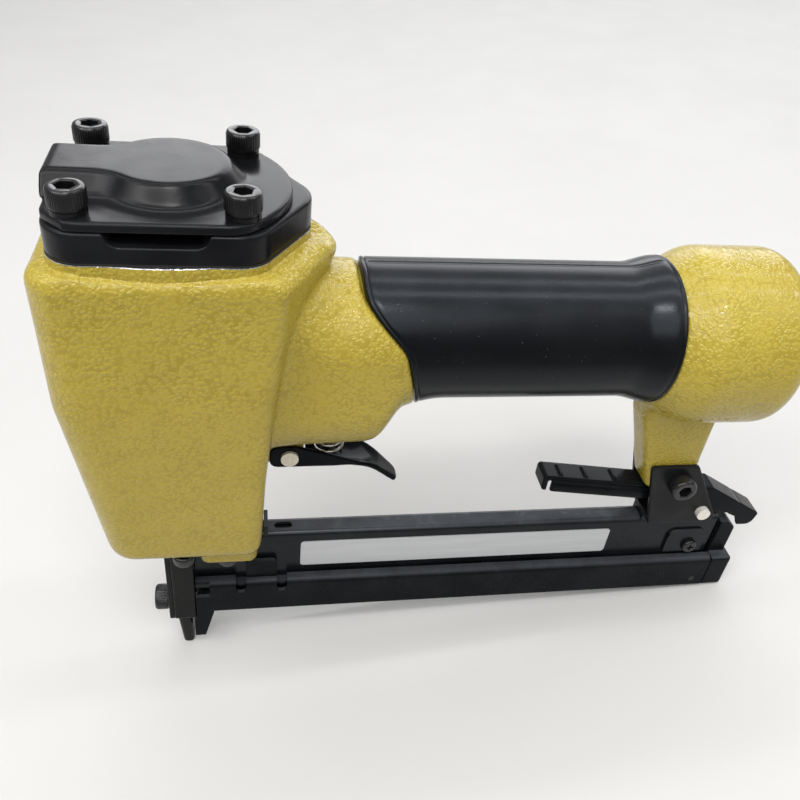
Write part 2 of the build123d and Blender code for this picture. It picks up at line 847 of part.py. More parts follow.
def cap_bolts():
    """Four socket head screws through the cap."""
    seat = z_flange + washer_thick
    length = seat - z_rim + bolt_engaged - slide_gap
    screw = socket_screw(m5_r, m5_head_r, m5_head_h, m5_hex, length)
    return Compound([Pos(x, y, seat) * screw for x, y in bolt_places()])


def cap_washers():
    """Split spring washers under the cap screws."""
    ring = ring_z(0, washer_thick, 0, 0, washer_r, m5_r + screw_gap)
    ring -= block(0, 2 * washer_r, -washer_split / 2, washer_split / 2, 0, washer_thick)
    return Compound([Pos(x, y, z_flange) * ring for x, y in bolt_places()])


def cylinder_sleeve():
    """Cylinder liner with a collar on top and a ring of ports."""
    tube = ring_z(z_seat, z_sleeve, 0, 0, sleeve_r, bore_r)
    collar = ring_z(z_sleeve - collar_thick, z_sleeve, 0, 0, chamber_r - 2 * seat_gap, bore_r)
    holes = []
    for number in range(port_count):
        angle = 360 * number / port_count
        port = rod_x(0, chamber_r, 0, z_seat + port_rise, port_r)
        vent = rod_z(z_sleeve - collar_thick, z_sleeve, sleeve_r + chamber_room / 2, 0, vent_r)
        holes += [Rot(0, 0, angle) * port, Rot(0, 0, angle) * vent]
    return tube + collar - holes


def sleeve_seal():
    """Seal round the foot of the sleeve."""
    return seal_z((z_seat + z_chamber) / 2, 0, 0, sleeve_r + seat_gap + 2 * sleeve_seal_r, sleeve_seal_r)


def bumper():
    """Rubber ring that stops the piston."""
    return ring_z(z_seat, z_bumper, 0, 0, bore_r - bumper_gap, bumper_hole_r)


def piston():
    """Piston with its seal groove and the slot that holds the blade."""
    radius = bore_r - run_gap
    disc = rod_z(z_piston, z_piston + piston_height, 0, 0, radius)
    z = z_piston + piston_groove_rise
    half = seal_r + seat_gap
    groove = ring_z(z - half, z + half, 0, 0, bore_r, radius - 2 * seal_r - seat_gap)
    bowl = rod_z(z_piston + piston_height - piston_bowl_depth, z_piston + piston_height, 0, 0, piston_bowl_r)
    x = blade_thick / 2 + seat_gap
    y = blade_half + seat_gap
    slot = block(-x, x, -y, y, z_piston, z_piston + blade_grip + seat_gap)
    return disc - [groove, bowl, slot, driver_pin_bar(seat_gap)]


def driver_pin_bar(gap):
    """Cross pin through piston and blade."""
    z = z_piston + blade_grip / 2
    return rod_x(-driver_pin_half - gap, driver_pin_half + gap, 0, z, driver_pin_r + gap)


def piston_seal():
    """Seal round the piston."""
    return seal_z(z_piston + piston_groove_rise, 0, 0, bore_r - run_gap, seal_r)


def driver_blade():
    """Flat blade that drives the staple."""
    x = blade_thick / 2
    blade = block(-x, x, -blade_half, blade_half, z_blade, z_piston + blade_grip)
    return blade - driver_pin_bar(seat_gap)


def head_valve():
    """Valve that seats on the sleeve and slides in the exhaust plate."""
    top = z_cap - valve_top_drop
    disc = rod_z(z_sleeve, z_sleeve + valve_disc_h, 0, 0, valve_disc_r)
    neck = rod_z(z_sleeve, top, 0, 0, valve_neck_r)
    pocket = rod_z(top - valve_pocket_depth, top, 0, 0, valve_pocket_r)
    z = (z_plate + z_cap - slot_depth) / 2
    half = valve_seal_r + seat_gap
    groove = ring_z(z - half, z + half, 0, 0, valve_disc_r, valve_neck_r - 2 * valve_seal_r - seat_gap)
    return disc + neck - [pocket, groove]


def head_valve_seal():
    """Seal round the head valve's neck."""
    return seal_z((z_plate + z_cap - slot_depth) / 2, 0, 0, valve_neck_r, valve_seal_r)


def head_valve_spring():
    """Spring between the head valve and the cap."""
    low = z_cap - valve_top_drop - valve_pocket_depth
    length = z_dome - cap_ceiling - low
    spring = coil("head valve spring", valve_spring_mean, valve_spring_wire, length, valve_spring_turns)
    return Pos(0, 0, low) * spring


def inlet_plug():
    """Threaded bush in the barrel's rear end that takes the air fitting."""
    seat = barrel_end + inlet_ring_thick
    end = seat + inlet_hex_thick
    body = rod_x(barrel_end - inlet_body_length, seat, 0, z_barrel, inlet_body_r)
    face = Plane(origin=(seat, 0, z_barrel), z_dir=(1, 0, 0))
    flange = extrude(face * RegularPolygon(inlet_hex / 2, hex_sides, major_radius=False), inlet_hex_thick)
    thread = rod_x(end - inlet_thread_length, end, 0, z_barrel, inlet_thread_r)
    bore = rod_x(barrel_end - inlet_body_length, end, 0, z_barrel, inlet_bore_r)
    return body + flange - [thread, bore]


def inlet_ring():
    """Sealing ring under the inlet plug's flange."""
    disc = rod_x(barrel_end, barrel_end + inlet_ring_thick, 0, z_barrel, inlet_ring_r)
    return disc - rod_x(barrel_end, barrel_end + inlet_ring_thick, 0, z_barrel, inlet_body_r + seat_gap)


def trigger():
    """Sheet trigger: two cheeks on the pin, a web below and a curved finger end."""
    low = z_pin - trigger_web_drop
    high = low + trigger_web_thick
    turn = math.radians(trigger_bend_angle)
    centre = low - trigger_bend_r
    outer = trigger_bend_r + trigger_web_thick

    def on_bend(radius, angle):
        return trigger_bend_x + radius * math.sin(angle), centre + radius * math.cos(angle)

    def past_bend(radius):
        x, z = on_bend(radius, turn)
        return x + trigger_tip_run * math.cos(turn), z - trigger_tip_run * math.sin(turn)

    inner = trigger_bend_r
    start_low = (trigger_bend_x, low)
    start_high = (trigger_bend_x, high)
    web = make_face([
        Polyline(start_low, (trigger_web_front, low), (trigger_web_front, high), start_high),
        ThreePointArc(start_high, on_bend(outer, turn / 2), on_bend(outer, turn)),
        Polyline(on_bend(outer, turn), past_bend(outer), past_bend(inner), on_bend(inner, turn)),
        ThreePointArc(on_bend(inner, turn), on_bend(inner, turn / 2), start_low),
    ])
    plane = Plane(origin=(0, trigger_half, 0), x_dir=(1, 0, 0), z_dir=(0, -1, 0))
    finger = extrude(plane * web, 2 * trigger_half)
    tip_x = past_bend(outer)[0]
    plan = [
        (trigger_web_front, -trigger_half),
        (trigger_taper_x, -trigger_half),
        (tip_x, -trigger_tip_half),
        (tip_x, trigger_tip_half),
        (trigger_taper_x, trigger_half),
        (trigger_web_front, trigger_half),
    ]
    radii = [0, trigger_plan_round, trigger_tip_round, trigger_tip_round, trigger_plan_round, 0]
    trim = outline(plan, radii)
    finger &= Pos(0, 0, centre - trigger_bend_r) * extrude(trim, 2 * outer)
    front = trigger_pin_x - trigger_front
    top = z_pin + trigger_cheek_top
    cheek = [
        (front, low),
        (trigger_cheek_rear, low),
        (trigger_cheek_rear, high),
        (trigger_pin_x + trigger_pin_r, top),
        (front, top),
    ]
    shape = finger
    for y in (-trigger_half, trigger_half - trigger_sheet):
        radii = [trigger_cheek_round, 0, 0, trigger_cheek_round, trigger_cheek_round]
        shape += side_prism(cheek, radii, y, y + trigger_sheet)
    return shape - rod_y(-trigger_half, trigger_half, trigger_pin_x, z_pin, trigger_pin_r + run_gap)


def trigger_pin():
    """Plain pin of the trigger."""
    half = trigger_half + trigger_pin_proud
    return rod_y(-half, half, trigger_pin_x, z_pin, trigger_pin_r)


def trigger_spring():
    """Spring between the valve plug and the trigger's web."""
    low = z_pin - trigger_web_drop + trigger_web_thick
    length = z_neck - low
    spring = coil("trigger spring", trigger_spring_mean, trigger_spring_wire, length, trigger_spring_turns)
    return Pos(valve_x, 0, low) * spring


def valve_plug():
    """Trigger valve's plug in the underside of the neck."""
    top = z_neck + plug_height
    plug = rod_z(z_neck, top, valve_x, 0, plug_r)
    stem_hole = rod_z(z_neck, top, valve_x, 0, stem_r + run_gap)
    cell = rod_z(z_neck + valve_cell_rise, top, valve_x, 0, valve_cell_r)
    grooves = []
    for rise in plug_seal_rises:
        half = plug_seal_r + seat_gap
        inner = plug_r - 2 * plug_seal_r - seat_gap
        z = z_neck + rise
        grooves.append(ring_z(z - half, z + half, valve_x, 0, plug_r + seat_gap, inner))
    return plug - [stem_hole, cell] - grooves


def valve_plug_seals():
    """Seals round the valve plug."""
    return Compound([seal_z(z_neck + rise, valve_x, 0, plug_r, plug_seal_r) for rise in plug_seal_rises])


def valve_stem():
    """Stem that the trigger lifts."""
    low = z_pin - trigger_web_drop + trigger_web_thick + stem_trigger_gap
    collar = z_neck + valve_cell_rise
    top = collar + stem_collar_h
    stem = rod_z(low, top + stem_top, valve_x, 0, stem_r)
    return stem + rod_z(collar, top, valve_x, 0, stem_collar_r)


def valve_retainer():
    """Disc that closes the valve's cell."""
    top = z_neck + plug_height
    return ring_z(top - retainer_thick, top, valve_x, 0, valve_cell_r - seat_gap, retainer_hole_r)


def stem_spring():
    """Spring that returns the valve stem."""
    low = z_neck + valve_cell_rise + stem_collar_h
    length = z_neck + plug_height - retainer_thick - low
    spring = coil("valve stem spring", stem_spring_mean, stem_spring_wire, length, stem_spring_turns)
    return Pos(valve_x, 0, low) * spring


def driver_guide():
    """Nose: mounting block under the head, grooved wall before the magazine, long prong."""
    groove = -(blade_thick / 2 + blade_room)
    rear = channel_front - slide_gap
    low = z_mag - guide_low
    wall = block(-guide_front, rear, -guide_half, guide_half, low, z_rail)
    mount = block(-guide_front, guide_block_rear, -guide_block_half, guide_block_half, z_rail, z_body)
    mount = fillet(mount.edges().filter_by(Axis.X).group_by(Axis.Z)[0], guide_corner)

    def prong_section(z, thick, half):
        middle = groove - prong_set_back - thick / 2
        return Pos(middle, 0, z) * RectangleRounded(thick, 2 * half, prong_round)

    prong = loft([
        prong_section(low, prong_thick, prong_half),
        prong_section(0, prong_tip_thick, prong_tip_half),
    ], ruled=True)
    y = blade_half + blade_room
    cuts = [
        block(groove, rear, -y, y, low, z_rail),
        blade_slot(z_rail, z_body),
        rod_x(-guide_front, groove, 0, z_mag + nose_bolt_rise, m5_r + seat_gap),
        rod_x(-guide_front, groove, 0, z_mag + dowel_rise, dowel_r + seat_gap),
    ]
    for side in (-1, 1):
        y = side * guide_screw_y
        cuts.append(rod_z(z_rail, z_body, guide_screw_x, y, m4_r + screw_gap))
        seat = z_rail - m4_head_h - head_relief
        cuts.append(rod_z(seat, z_rail, guide_screw_x, y, m4_head_r + head_relief))
    return wall + mount + prong - cuts


def cover_plate():
    """Thin plate over the front of the driver guide."""
    low = z_mag - cover_low
    high = z_mag + cover_top_rise
    front = -guide_front - cover_thick
    points = corners(-cover_half, cover_half, low, high)
    plate = rail_prism(points, [cover_corner] * len(points), front, -guide_front)
    bolt = rod_x(front, -guide_front, 0, z_mag + nose_bolt_rise, m5_r + screw_gap)
    return plate - [bolt, rod_x(front, -guide_front, 0, z_mag + dowel_rise, dowel_r + seat_gap)]


def cover_dowel():
    """Pin that locates the cover plate on the guide."""
    groove = -(blade_thick / 2 + blade_room)
    return rod_x(-guide_front - cover_thick, groove - blade_room, 0, z_mag + dowel_rise, dowel_r)


def nose_bolt():
    """Socket head screw that holds the cover plate."""
    seat = -guide_front - cover_thick
    length = guide_front + cover_thick - blade_thick / 2 - 2 * blade_room
    screw = socket_screw(m5_r, m5_head_r, m5_head_h, m5_hex, length)
    return Pos(seat, 0, z_mag + nose_bolt_rise) * Rot(0, -90, 0) * screw


def guide_screws():
    """Screws that hold the driver guide under the head."""
    length = boss_height + guide_screw_engaged - slide_gap
    screw = Rot(180, 0, 0) * socket_screw(m4_r, m4_head_r, m4_head_h, m4_hex, length)
    return Compound([Pos(guide_screw_x, side * guide_screw_y, z_rail) * screw for side in (-1, 1)])


def rail_screws():
    """Screws that hold the fixed rail's ears under the boss."""
    length = ear_thick + rail_screw_engaged - slide_gap
    screw = Rot(180, 0, 0) * socket_screw(m4_r, m4_head_r, m4_head_h, m4_hex, length)
    z = z_rail - ear_thick
    return Compound([Pos(rail_screw_x, side * rail_screw_y, z) * screw for side in (-1, 1)])


def fixed_rail():
    """Upper rail: an upturned channel with feet, mounting ears, lug, oblong hole and rear saddle."""
    foot_top = z_channel_top - channel_wall - lip_gap
    foot_low = foot_top - foot_thick
    inner = rail_half - rail_wall
    half = [
        (rail_half, z_rail),
        (rail_half, foot_top),
        (foot_half, foot_top),
        (foot_half, foot_low),
        (inner, foot_low),
        (inner, z_rail - rail_wall),
    ]
    points = half + [(-y, z) for y, z in reversed(half)]
    radii = [rail_edge] + [0] * (len(points) - 2) + [rail_edge]
    rail = rail_prism(points, radii, rail_front, rail_rear)
    ears = block(ear_front, ear_rear, -ear_half, ear_half, z_rail - ear_thick, z_rail)
    ears -= block(ear_front, ear_rear, -inner, inner, z_rail - ear_thick, z_rail - rail_wall)
    lug = block(lug_x, lug_x + lug_thick, -rail_half, rail_half, z_rail - rail_wall, z_rail + lug_height)
    saddle_top = z_rail + saddle_height
    saddle = block(bracket_low_front, saddle_rear, -rail_half, rail_half, z_rail - rail_wall, saddle_top)
    oblong = extrude(SlotOverall(oblong_length, 2 * oblong_r), rail_wall)
    holes = [Pos(oblong_x, 0, z_rail - rail_wall) * oblong]
    for side in (-1, 1):
        y = side * rail_screw_y
        holes.append(rod_z(z_rail - ear_thick, z_rail, rail_screw_x, y, m4_r + screw_gap))
    holes.append(rod_y(-rail_half, 0, stop_screw_x, z_mag + stop_screw_rise, stop_screw_r + seat_gap))
    return rail + ears + lug + saddle - holes


def rating_plate():
    """Bare metal plate on the rail's side."""
    points = corners(label_front, label_rear, z_mag + label_low, z_mag + label_high)
    return side_prism(points, [label_corner] * len(points), -rail_half - label_thick, -rail_half)


def rail_stop():
    """End plate screwed to the rail's side."""
    points = corners(stop_front, stop_rear, z_mag + stop_low, z_mag + stop_high)
    radii = [stop_edge, stop_edge, stop_corner, stop_corner]
    plate = side_prism(points, radii, -rail_half - stop_thick, -rail_half)
    z = z_mag + stop_screw_rise
    return plate - rod_y(-rail_half - stop_thick, -rail_half, stop_screw_x, z, stop_screw_r + seat_gap)


def rail_stop_screw():
    """Cross-head screw of the end plate."""
    seat = -rail_half - stop_thick
    z = z_mag + stop_screw_rise
    head = rod_y(seat - stop_screw_head_h, seat, stop_screw_x, z, stop_screw_head_r)
    head = fillet(head.edges().filter_by(GeomType.CIRCLE).sort_by(Axis.Y)[0], stop_screw_head_h / 2)
    arm = stop_screw_head_r * hex_depth_share
    width = arm / 4
    front = seat - stop_screw_head_h
    cross = block(stop_screw_x - arm, stop_screw_x + arm, front, front + arm / 2, z - width, z + width)
    cross += block(stop_screw_x - width, stop_screw_x + width, front, front + arm / 2, z - arm, z + arm)
    return head - cross + rod_y(seat, -rail_half + rail_wall, stop_screw_x, z, stop_screw_r)


def sliding_channel():
    """Lower channel that pulls out, with its lips, notches, ears and nose wedge."""
    lip = rail_half + lip_gap
    inner = channel_half - channel_wall
    lip_low = z_channel_top - channel_wall
    half = [
        (channel_half, z_mag),
        (channel_half, z_channel_top),
        (lip, z_channel_top),
        (lip, lip_low),
        (inner, lip_low),
        (inner, z_mag + channel_wall),
    ]
    points = half + [(-y, z) for y, z in reversed(half)]
    radii = [channel_edge, channel_round, 0, 0, 0, 0, 0, 0, 0, 0, channel_round, channel_edge]
    shape = rail_prism(points, radii, channel_front, channel_rear)
    ear_x0 = cutout_xs[0] + cutout_half
    ear_x1 = cutout_xs[1] - cutout_half
    ear = corners(ear_x0, ear_x1, lip_low, z_mag + guide_ear_top)
    for y in (-lip - guide_ear_thick, lip):
        shape += side_prism(ear, [0, 0, guide_ear_corner, guide_ear_corner], y, y + guide_ear_thick)
    wedge = [
        (channel_front, z_mag + channel_wall),
        (channel_front, z_mag - nose_wedge_drop),
        (channel_front + nose_wedge_tip, z_mag - nose_wedge_drop),
        (channel_front + nose_wedge_length, z_mag),
        (channel_front + nose_wedge_length, z_mag + channel_wall),
    ]
    shape += side_prism(wedge, [0] * len(wedge), -channel_half, channel_half)
    tip_front = channel_front - nose_wedge_lead
    tip_top = z_mag - guide_low - slide_gap
    for side in (-1, 1):
        y0, y1 = sorted((side * (blade_half + blade_room), side * channel_half))
        shape += block(tip_front, channel_front, y0, y1, z_mag - nose_wedge_drop, tip_top)
    return shape - channel_cuts(inner)


def channel_cuts(inner):
    """Front notch, relief notches and rivet holes of the sliding channel."""
    cuts = []
    for side in (-1, 1):
        y0, y1 = sorted((side * inner, side * 2 * channel_half))
        front = channel_front
        cuts.append(block(front, front + notch_length, y0, y1, z_mag + notch_low, 2 * z_channel_top))
        y0, y1 = sorted((side * rail_half, side * 2 * channel_half))
        for x in cutout_xs:
            top = z_channel_top + channel_wall
            points = corners(x - cutout_half, x + cutout_half, z_mag + cutout_low, top)
            corner = cutout_half - seat_gap
            cuts.append(side_prism(points, [corner, corner, 0, 0], y0, y1))
        y0, y1 = sorted((side * inner, side * channel_half))
        cuts.append(rod_y(y0, y1, rivet_x, rivet_level(), rivet_r + seat_gap))
    return cuts


def rivet_level():
    """Height of the end cap's rivets."""
    return z_mag + (channel_wall + spigot_high) / 2


def end_cap():
    """Rear end of the sliding magazine, with its spigot and catch tab."""
    front = channel_rear + cap_seam
    points = corners(front, cap_rear, z_mag, z_channel_top)
    cap = side_prism(points, [0, cap_corner, cap_corner, 0], -channel_half, channel_half)
    cap = fillet(cap.edges().filter_by(Axis.X).group_by(Axis.Z)[-1], channel_round / 2)
    tab = corners(tab_front, tab_rear, z_channel_top, z_mag + tab_top)
    cap += side_prism(tab, [0, 0, cap_corner, cap_corner], -tab_half, tab_half)
    inner = channel_half - channel_wall - seat_gap
    low = z_mag + channel_wall + seat_gap
    cap += block(spigot_front, front, -inner, inner, low, z_mag + spigot_high)
    cuts = [rod_x(spigot_front, channel_rear, 0, z_mag + rod_rise, rod_r + seat_gap)]
    for side in (-1, 1):
        y0, y1 = sorted((side * (channel_half - rivet_length), side * channel_half))
        cuts.append(rod_y(y0, y1, rivet_x, rivet_level(), rivet_r + seat_gap))
    return cap - cuts


def end_cap_rivets():
    """Rivets through the channel's walls into the end cap."""
    rivets = []
    for side in (-1, 1):
        y0, y1 = sorted((side * (channel_half - rivet_length + seat_gap), side * channel_half))
        rivets.append(rod_y(y0, y1, rivet_x, rivet_level(), rivet_r))
    return Compound(rivets)


def core_rail():
    """Bar that the staples ride on, with a foot that holds the pusher rod."""
    bar = block(channel_front, channel_rear, -core_half, core_half, z_mag + core_low, z_rail - core_top_drop)
    end = channel_front + core_foot_length
    foot = block(channel_front, end, -core_half, core_half, z_mag + channel_wall, z_mag + core_low)
    return bar + foot - rod_x(channel_front, end, 0, z_mag + rod_rise, rod_r + seat_gap)


def pusher():
    """Follower that straddles the core rail and slides on the rod."""
    half = rail_half - rail_wall - pusher_gap
    rear = pusher_front + pusher_length
    top = z_rail - rail_wall - pusher_gap
    shape = block(pusher_front, rear, -half, half, z_mag + channel_wall + pusher_gap, top)
    inner = core_half + pusher_gap
    slot = block(
        pusher_front, rear, -inner, inner,
        z_mag + core_low - pusher_gap, z_rail - core_top_drop + pusher_gap)
    return shape - slot - rod_x(pusher_front, rear, 0, z_mag + rod_rise, rod_r + run_gap)


def pusher_rod():
    """Thin rod under the core rail that guides the pusher's spring."""
    return rod_x(channel_front, channel_rear, 0, z_mag + rod_rise, rod_r)


def pusher_spring():
    """Long spring that presses the pusher forward."""
    rear = pusher_front + pusher_length
    length = spigot_front - rear
    spring = coil("pusher spring", pusher_spring_mean, pusher_spring_wire, length, pusher_spring_turns)
    return Plane(origin=(rear, 0, z_mag + rod_rise), z_dir=(1, 0, 0)) * spring


def latch_bracket():
    """U-shaped sheet bracket that joins the rail to the post and carries the latch."""
    inner = post_half + cheek_gap
    outer = inner + cheek_thick
    low = z_rail + saddle_height
    high = z_rail + bracket_top_rise
    cheek = [
        (bracket_low_front, low),
        (bracket_low_rear, low),
        (bracket_top_rear, high),
        (bracket_top_front, high),
    ]
    radii = [0, 2 * bracket_corner, bracket_corner, bracket_corner]
    shape = block(bracket_low_front, saddle_rear, -outer, outer, low, low + cheek_thick)
    for y in (-outer, inner):
        shape += side_prism(cheek, radii, y, y + cheek_thick)
    bolt = rod_y(-outer, outer, bracket_bolt_x, z_rail + bracket_bolt_rise, m5_r + screw_gap)
    return shape - [bolt, rod_y(-outer, outer, latch_pin_x, z_rail + latch_pin_rise, latch_pin_r + seat_gap)]


def bracket_bolt():
    """Screw through bracket and post."""
    seat = post_half + cheek_gap + cheek_thick
    screw = socket_screw(m5_r, m5_head_r, m5_head_h, m5_hex, 2 * seat + m5_nut_h)
    return Pos(bracket_bolt_x, -seat, z_rail + bracket_bolt_rise) * Rot(90, 0, 0) * screw


def bracket_nut():
    """Nut of the bracket screw."""
    seat = post_half + cheek_gap + cheek_thick
    plane = Plane(origin=(bracket_bolt_x, seat, z_rail + bracket_bolt_rise), z_dir=(0, 1, 0))
    nut = extrude(plane * RegularPolygon(m5_nut_across / 2, hex_sides, major_radius=False), m5_nut_h)
    return nut - rod_y(seat, seat + m5_nut_h, bracket_bolt_x, z_rail + bracket_bolt_rise, m5_r + seat_gap)


def latch_lever():
    """Channel-shaped lever: thumb arm in front, open hook behind the pin."""
    pin_z = z_rail + latch_pin_rise
    tip = z_rail + lever_tip_rise
    knee = z_rail + lever_knee_rise
    start = z_rail + hook_start_rise
    end = z_rail + hook_tip_rise
    top = [(lever_tip_x, tip), (lever_knee_x, knee), (hook_start_x, start), (hook_tip_x, end)]
    hook_low = z_mag + tab_top + hook_gap
    below = [
        (hook_chin_x, hook_low),
        (tab_rear, hook_low),
        (hook_inner_x, z_rail - hook_inner_drop),
        (hook_throat_x, z_rail + hook_throat_rise),
        (hook_neck_x, pin_z - lever_pin_drop),
        (latch_pin_x - pin_flange_front, pin_z - lever_pin_drop),
        (lever_knee_x, knee - lever_flange),
        (lever_tip_x, tip - lever_flange),
    ]
    r, b, c = lever_round, lever_bend, hook_chin_round
    shape = side_prism(top + below, [r, b, r, r, c, r, r, r, r, r, b, r], -lever_half, lever_half)
    fall = (start - end) / (hook_tip_x - hook_start_x)
    sheet = lever_sheet * math.hypot(1, fall)
    front = lever_tip_x + lever_sheet
    under = [
        (front, tip - lever_sheet),
        (lever_knee_x, knee - lever_sheet),
        (hook_start_x, start - sheet),
        (hook_tip_x - lever_sheet, end + fall * lever_sheet - sheet),
        (hook_chin_x - lever_sheet, z_mag),
        (front, z_mag),
    ]
    inside = lever_half - lever_sheet
    shape -= side_prism(under, [0] * len(under), -inside, inside)
    slot_half = core_half + hook_slot_gap
    cuts = [
        block(
            hook_inner_x, hook_tip_x, -slot_half, slot_half,
            z_mag, z_rail - core_top_drop + hook_slot_gap),
        rod_y(-lever_half, lever_half, latch_pin_x, pin_z, latch_pin_r + run_gap),
        block(
            lip_notch_x, lip_notch_x + lip_notch_width, -lever_half, lever_half,
            z_mag, tip - 2 * lever_sheet),
    ]
    slope = (tip - knee) / (lever_knee_x - lever_tip_x)
    for x in rib_xs:
        top_z = tip - slope * (x - lever_tip_x) - rib_sink
        shape += rod_y(-rib_length / 2, rib_length / 2, x, top_z, rib_r)
    return shape - cuts


def latch_pin():
    """Pin that the latch lever turns on."""
    half = post_half + cheek_gap + cheek_thick + latch_pin_proud
    return rod_y(-half, half, latch_pin_x, z_rail + latch_pin_rise, latch_pin_r)


def latch_spring():
    """Spring between the bracket's web and the lever."""
    low = z_rail + saddle_height + cheek_thick
    fall = (lever_tip_rise - lever_knee_rise) / (lever_knee_x - lever_tip_x)
    reach = latch_spring_x + latch_spring_mean + latch_spring_wire
    high = z_rail + lever_knee_rise - lever_sheet + fall * (lever_knee_x - reach)
    spring = coil("latch spring", latch_spring_mean, latch_spring_wire, high - low, latch_spring_turns)
    return Pos(latch_spring_x, 0, low) * spring


nodes = {
    "body_housing": body_housing,
    "grip_sleeve": grip_sleeve,
    "cap_gasket": cap_gasket,
    "exhaust_plate": exhaust_plate,
    "cylinder_cap": cylinder_cap,
    "cap_bolts": cap_bolts,
    "cap_spring_washers": cap_washers,
    "cylinder_sleeve": cylinder_sleeve,
    "sleeve_seal": sleeve_seal,
    "bumper": bumper,
    "piston": piston,
    "piston_seal": piston_seal,
    "driver_blade": driver_blade,
    "driver_pin": lambda: driver_pin_bar(0),
    "head_valve": head_valve,
    "head_valve_seal": head_valve_seal,
    "head_valve_spring": head_valve_spring,
    "inlet_plug": inlet_plug,
    "inlet_sealing_ring": inlet_ring,
    "trigger": trigger,
    "trigger_pin": trigger_pin,
    "trigger_spring": trigger_spring,
    "trigger_valve_plug": valve_plug,
    "valve_plug_seals": valve_plug_seals,
    "valve_stem": valve_stem,
    "valve_retainer": valve_retainer,
    "valve_stem_spring": stem_spring,
    "driver_guide": driver_guide,
    "nose_cover_plate": cover_plate,
    "cover_dowel": cover_dowel,
    "nose_bolt": nose_bolt,
    "guide_screws": guide_screws,
    "fixed_rail": fixed_rail,
    "rail_screws": rail_screws,
    "side_plate": rating_plate,
    "rail_end_plate": rail_stop,
    "rail_end_screw": rail_stop_screw,
    "sliding_magazine": sliding_channel,
    "magazine_end_cap": end_cap,
    "end_cap_rivets": end_cap_rivets,
    "core_rail": core_rail,
    "pusher": pusher,
    "pusher_rod": pusher_rod,
    "pusher_spring": pusher_spring,
    "latch_bracket": latch_bracket,
    "bracket_bolt": bracket_bolt,
    "bracket_nut": bracket_nut,
    "latch_lever": latch_lever,
    "latch_pin": latch_pin,
    "latch_spring": latch_spring,
}

os.makedirs("parts", exist_ok=True)
for node, make in nodes.items():
    export_step(make(), f"parts/{node}.step")
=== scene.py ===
"""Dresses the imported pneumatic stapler: soft castings, moulded grip, cut screws, finishes, light."""

import json
import math

import bmesh
import bpy
import numpy as np
from mathutils import Matrix, Vector

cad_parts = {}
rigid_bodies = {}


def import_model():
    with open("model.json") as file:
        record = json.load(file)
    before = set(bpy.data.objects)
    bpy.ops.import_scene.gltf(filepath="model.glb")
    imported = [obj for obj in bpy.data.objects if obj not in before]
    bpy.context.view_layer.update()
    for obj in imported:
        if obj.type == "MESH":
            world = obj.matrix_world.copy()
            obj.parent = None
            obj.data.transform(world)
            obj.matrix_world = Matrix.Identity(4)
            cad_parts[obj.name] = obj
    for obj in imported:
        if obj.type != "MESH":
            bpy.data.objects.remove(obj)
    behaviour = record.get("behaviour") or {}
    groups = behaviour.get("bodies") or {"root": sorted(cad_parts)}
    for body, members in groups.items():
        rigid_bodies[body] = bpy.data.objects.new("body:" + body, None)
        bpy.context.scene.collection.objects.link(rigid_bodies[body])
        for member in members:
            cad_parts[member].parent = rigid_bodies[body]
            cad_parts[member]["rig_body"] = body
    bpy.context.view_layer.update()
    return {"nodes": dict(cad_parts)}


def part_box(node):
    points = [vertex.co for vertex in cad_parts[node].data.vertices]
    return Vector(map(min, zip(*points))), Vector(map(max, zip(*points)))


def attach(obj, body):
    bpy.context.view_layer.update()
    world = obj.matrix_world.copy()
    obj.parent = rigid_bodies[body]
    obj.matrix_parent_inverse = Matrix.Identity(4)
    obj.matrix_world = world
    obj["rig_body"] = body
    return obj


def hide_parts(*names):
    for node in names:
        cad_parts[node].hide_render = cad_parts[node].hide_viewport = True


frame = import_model()
nodes = frame["nodes"]
scene = bpy.context.scene
MM = 0.001

# Places on the part, in millimetres in the row frame
BOLT_HALF = 18.7  # cap screws stand on a square
HANDLE_Z = 132.6  # handle's axis
BARREL_Z = 130.7  # rear barrel's axis
RIM_Z = 164.1
LEDGE_Z = 161.7  # foot of the rim on the solid
BULGE_Z = 157.8  # head's widest line
RIM_MARGIN = 1.45  # rim outside the exhaust plate on the solid
PLATE = (25.7, 24.5, 22.3, 15.0)  # plate's front, sides, rear bends and point behind them
PLATE_ROUND = (9.0, 9.0, 11.0, 9.0, 9.0)
CHAMBER_R = 19.8
CORE_R = 17.0
GRIP_R = 19.9
HEEL_DROP = 1.9  # flare of the grip's lower front corner, and of the neck beside it
POST_BOLT = (162.5, 76.6)
NOSE_BOLT = (0.0, 20.9)
TRIGGER_PIN = (31.3, 89.9)
LATCH_PIN = (175.9, 61.8)
LEVER_TIP = 115.8  # lever's front end, its height there and its fall per millimetre
LEVER_TOP = 76.8
LEVER_FALL = 0.1443
LEVER_RIBS = (122.1, 131.4, 142.1)

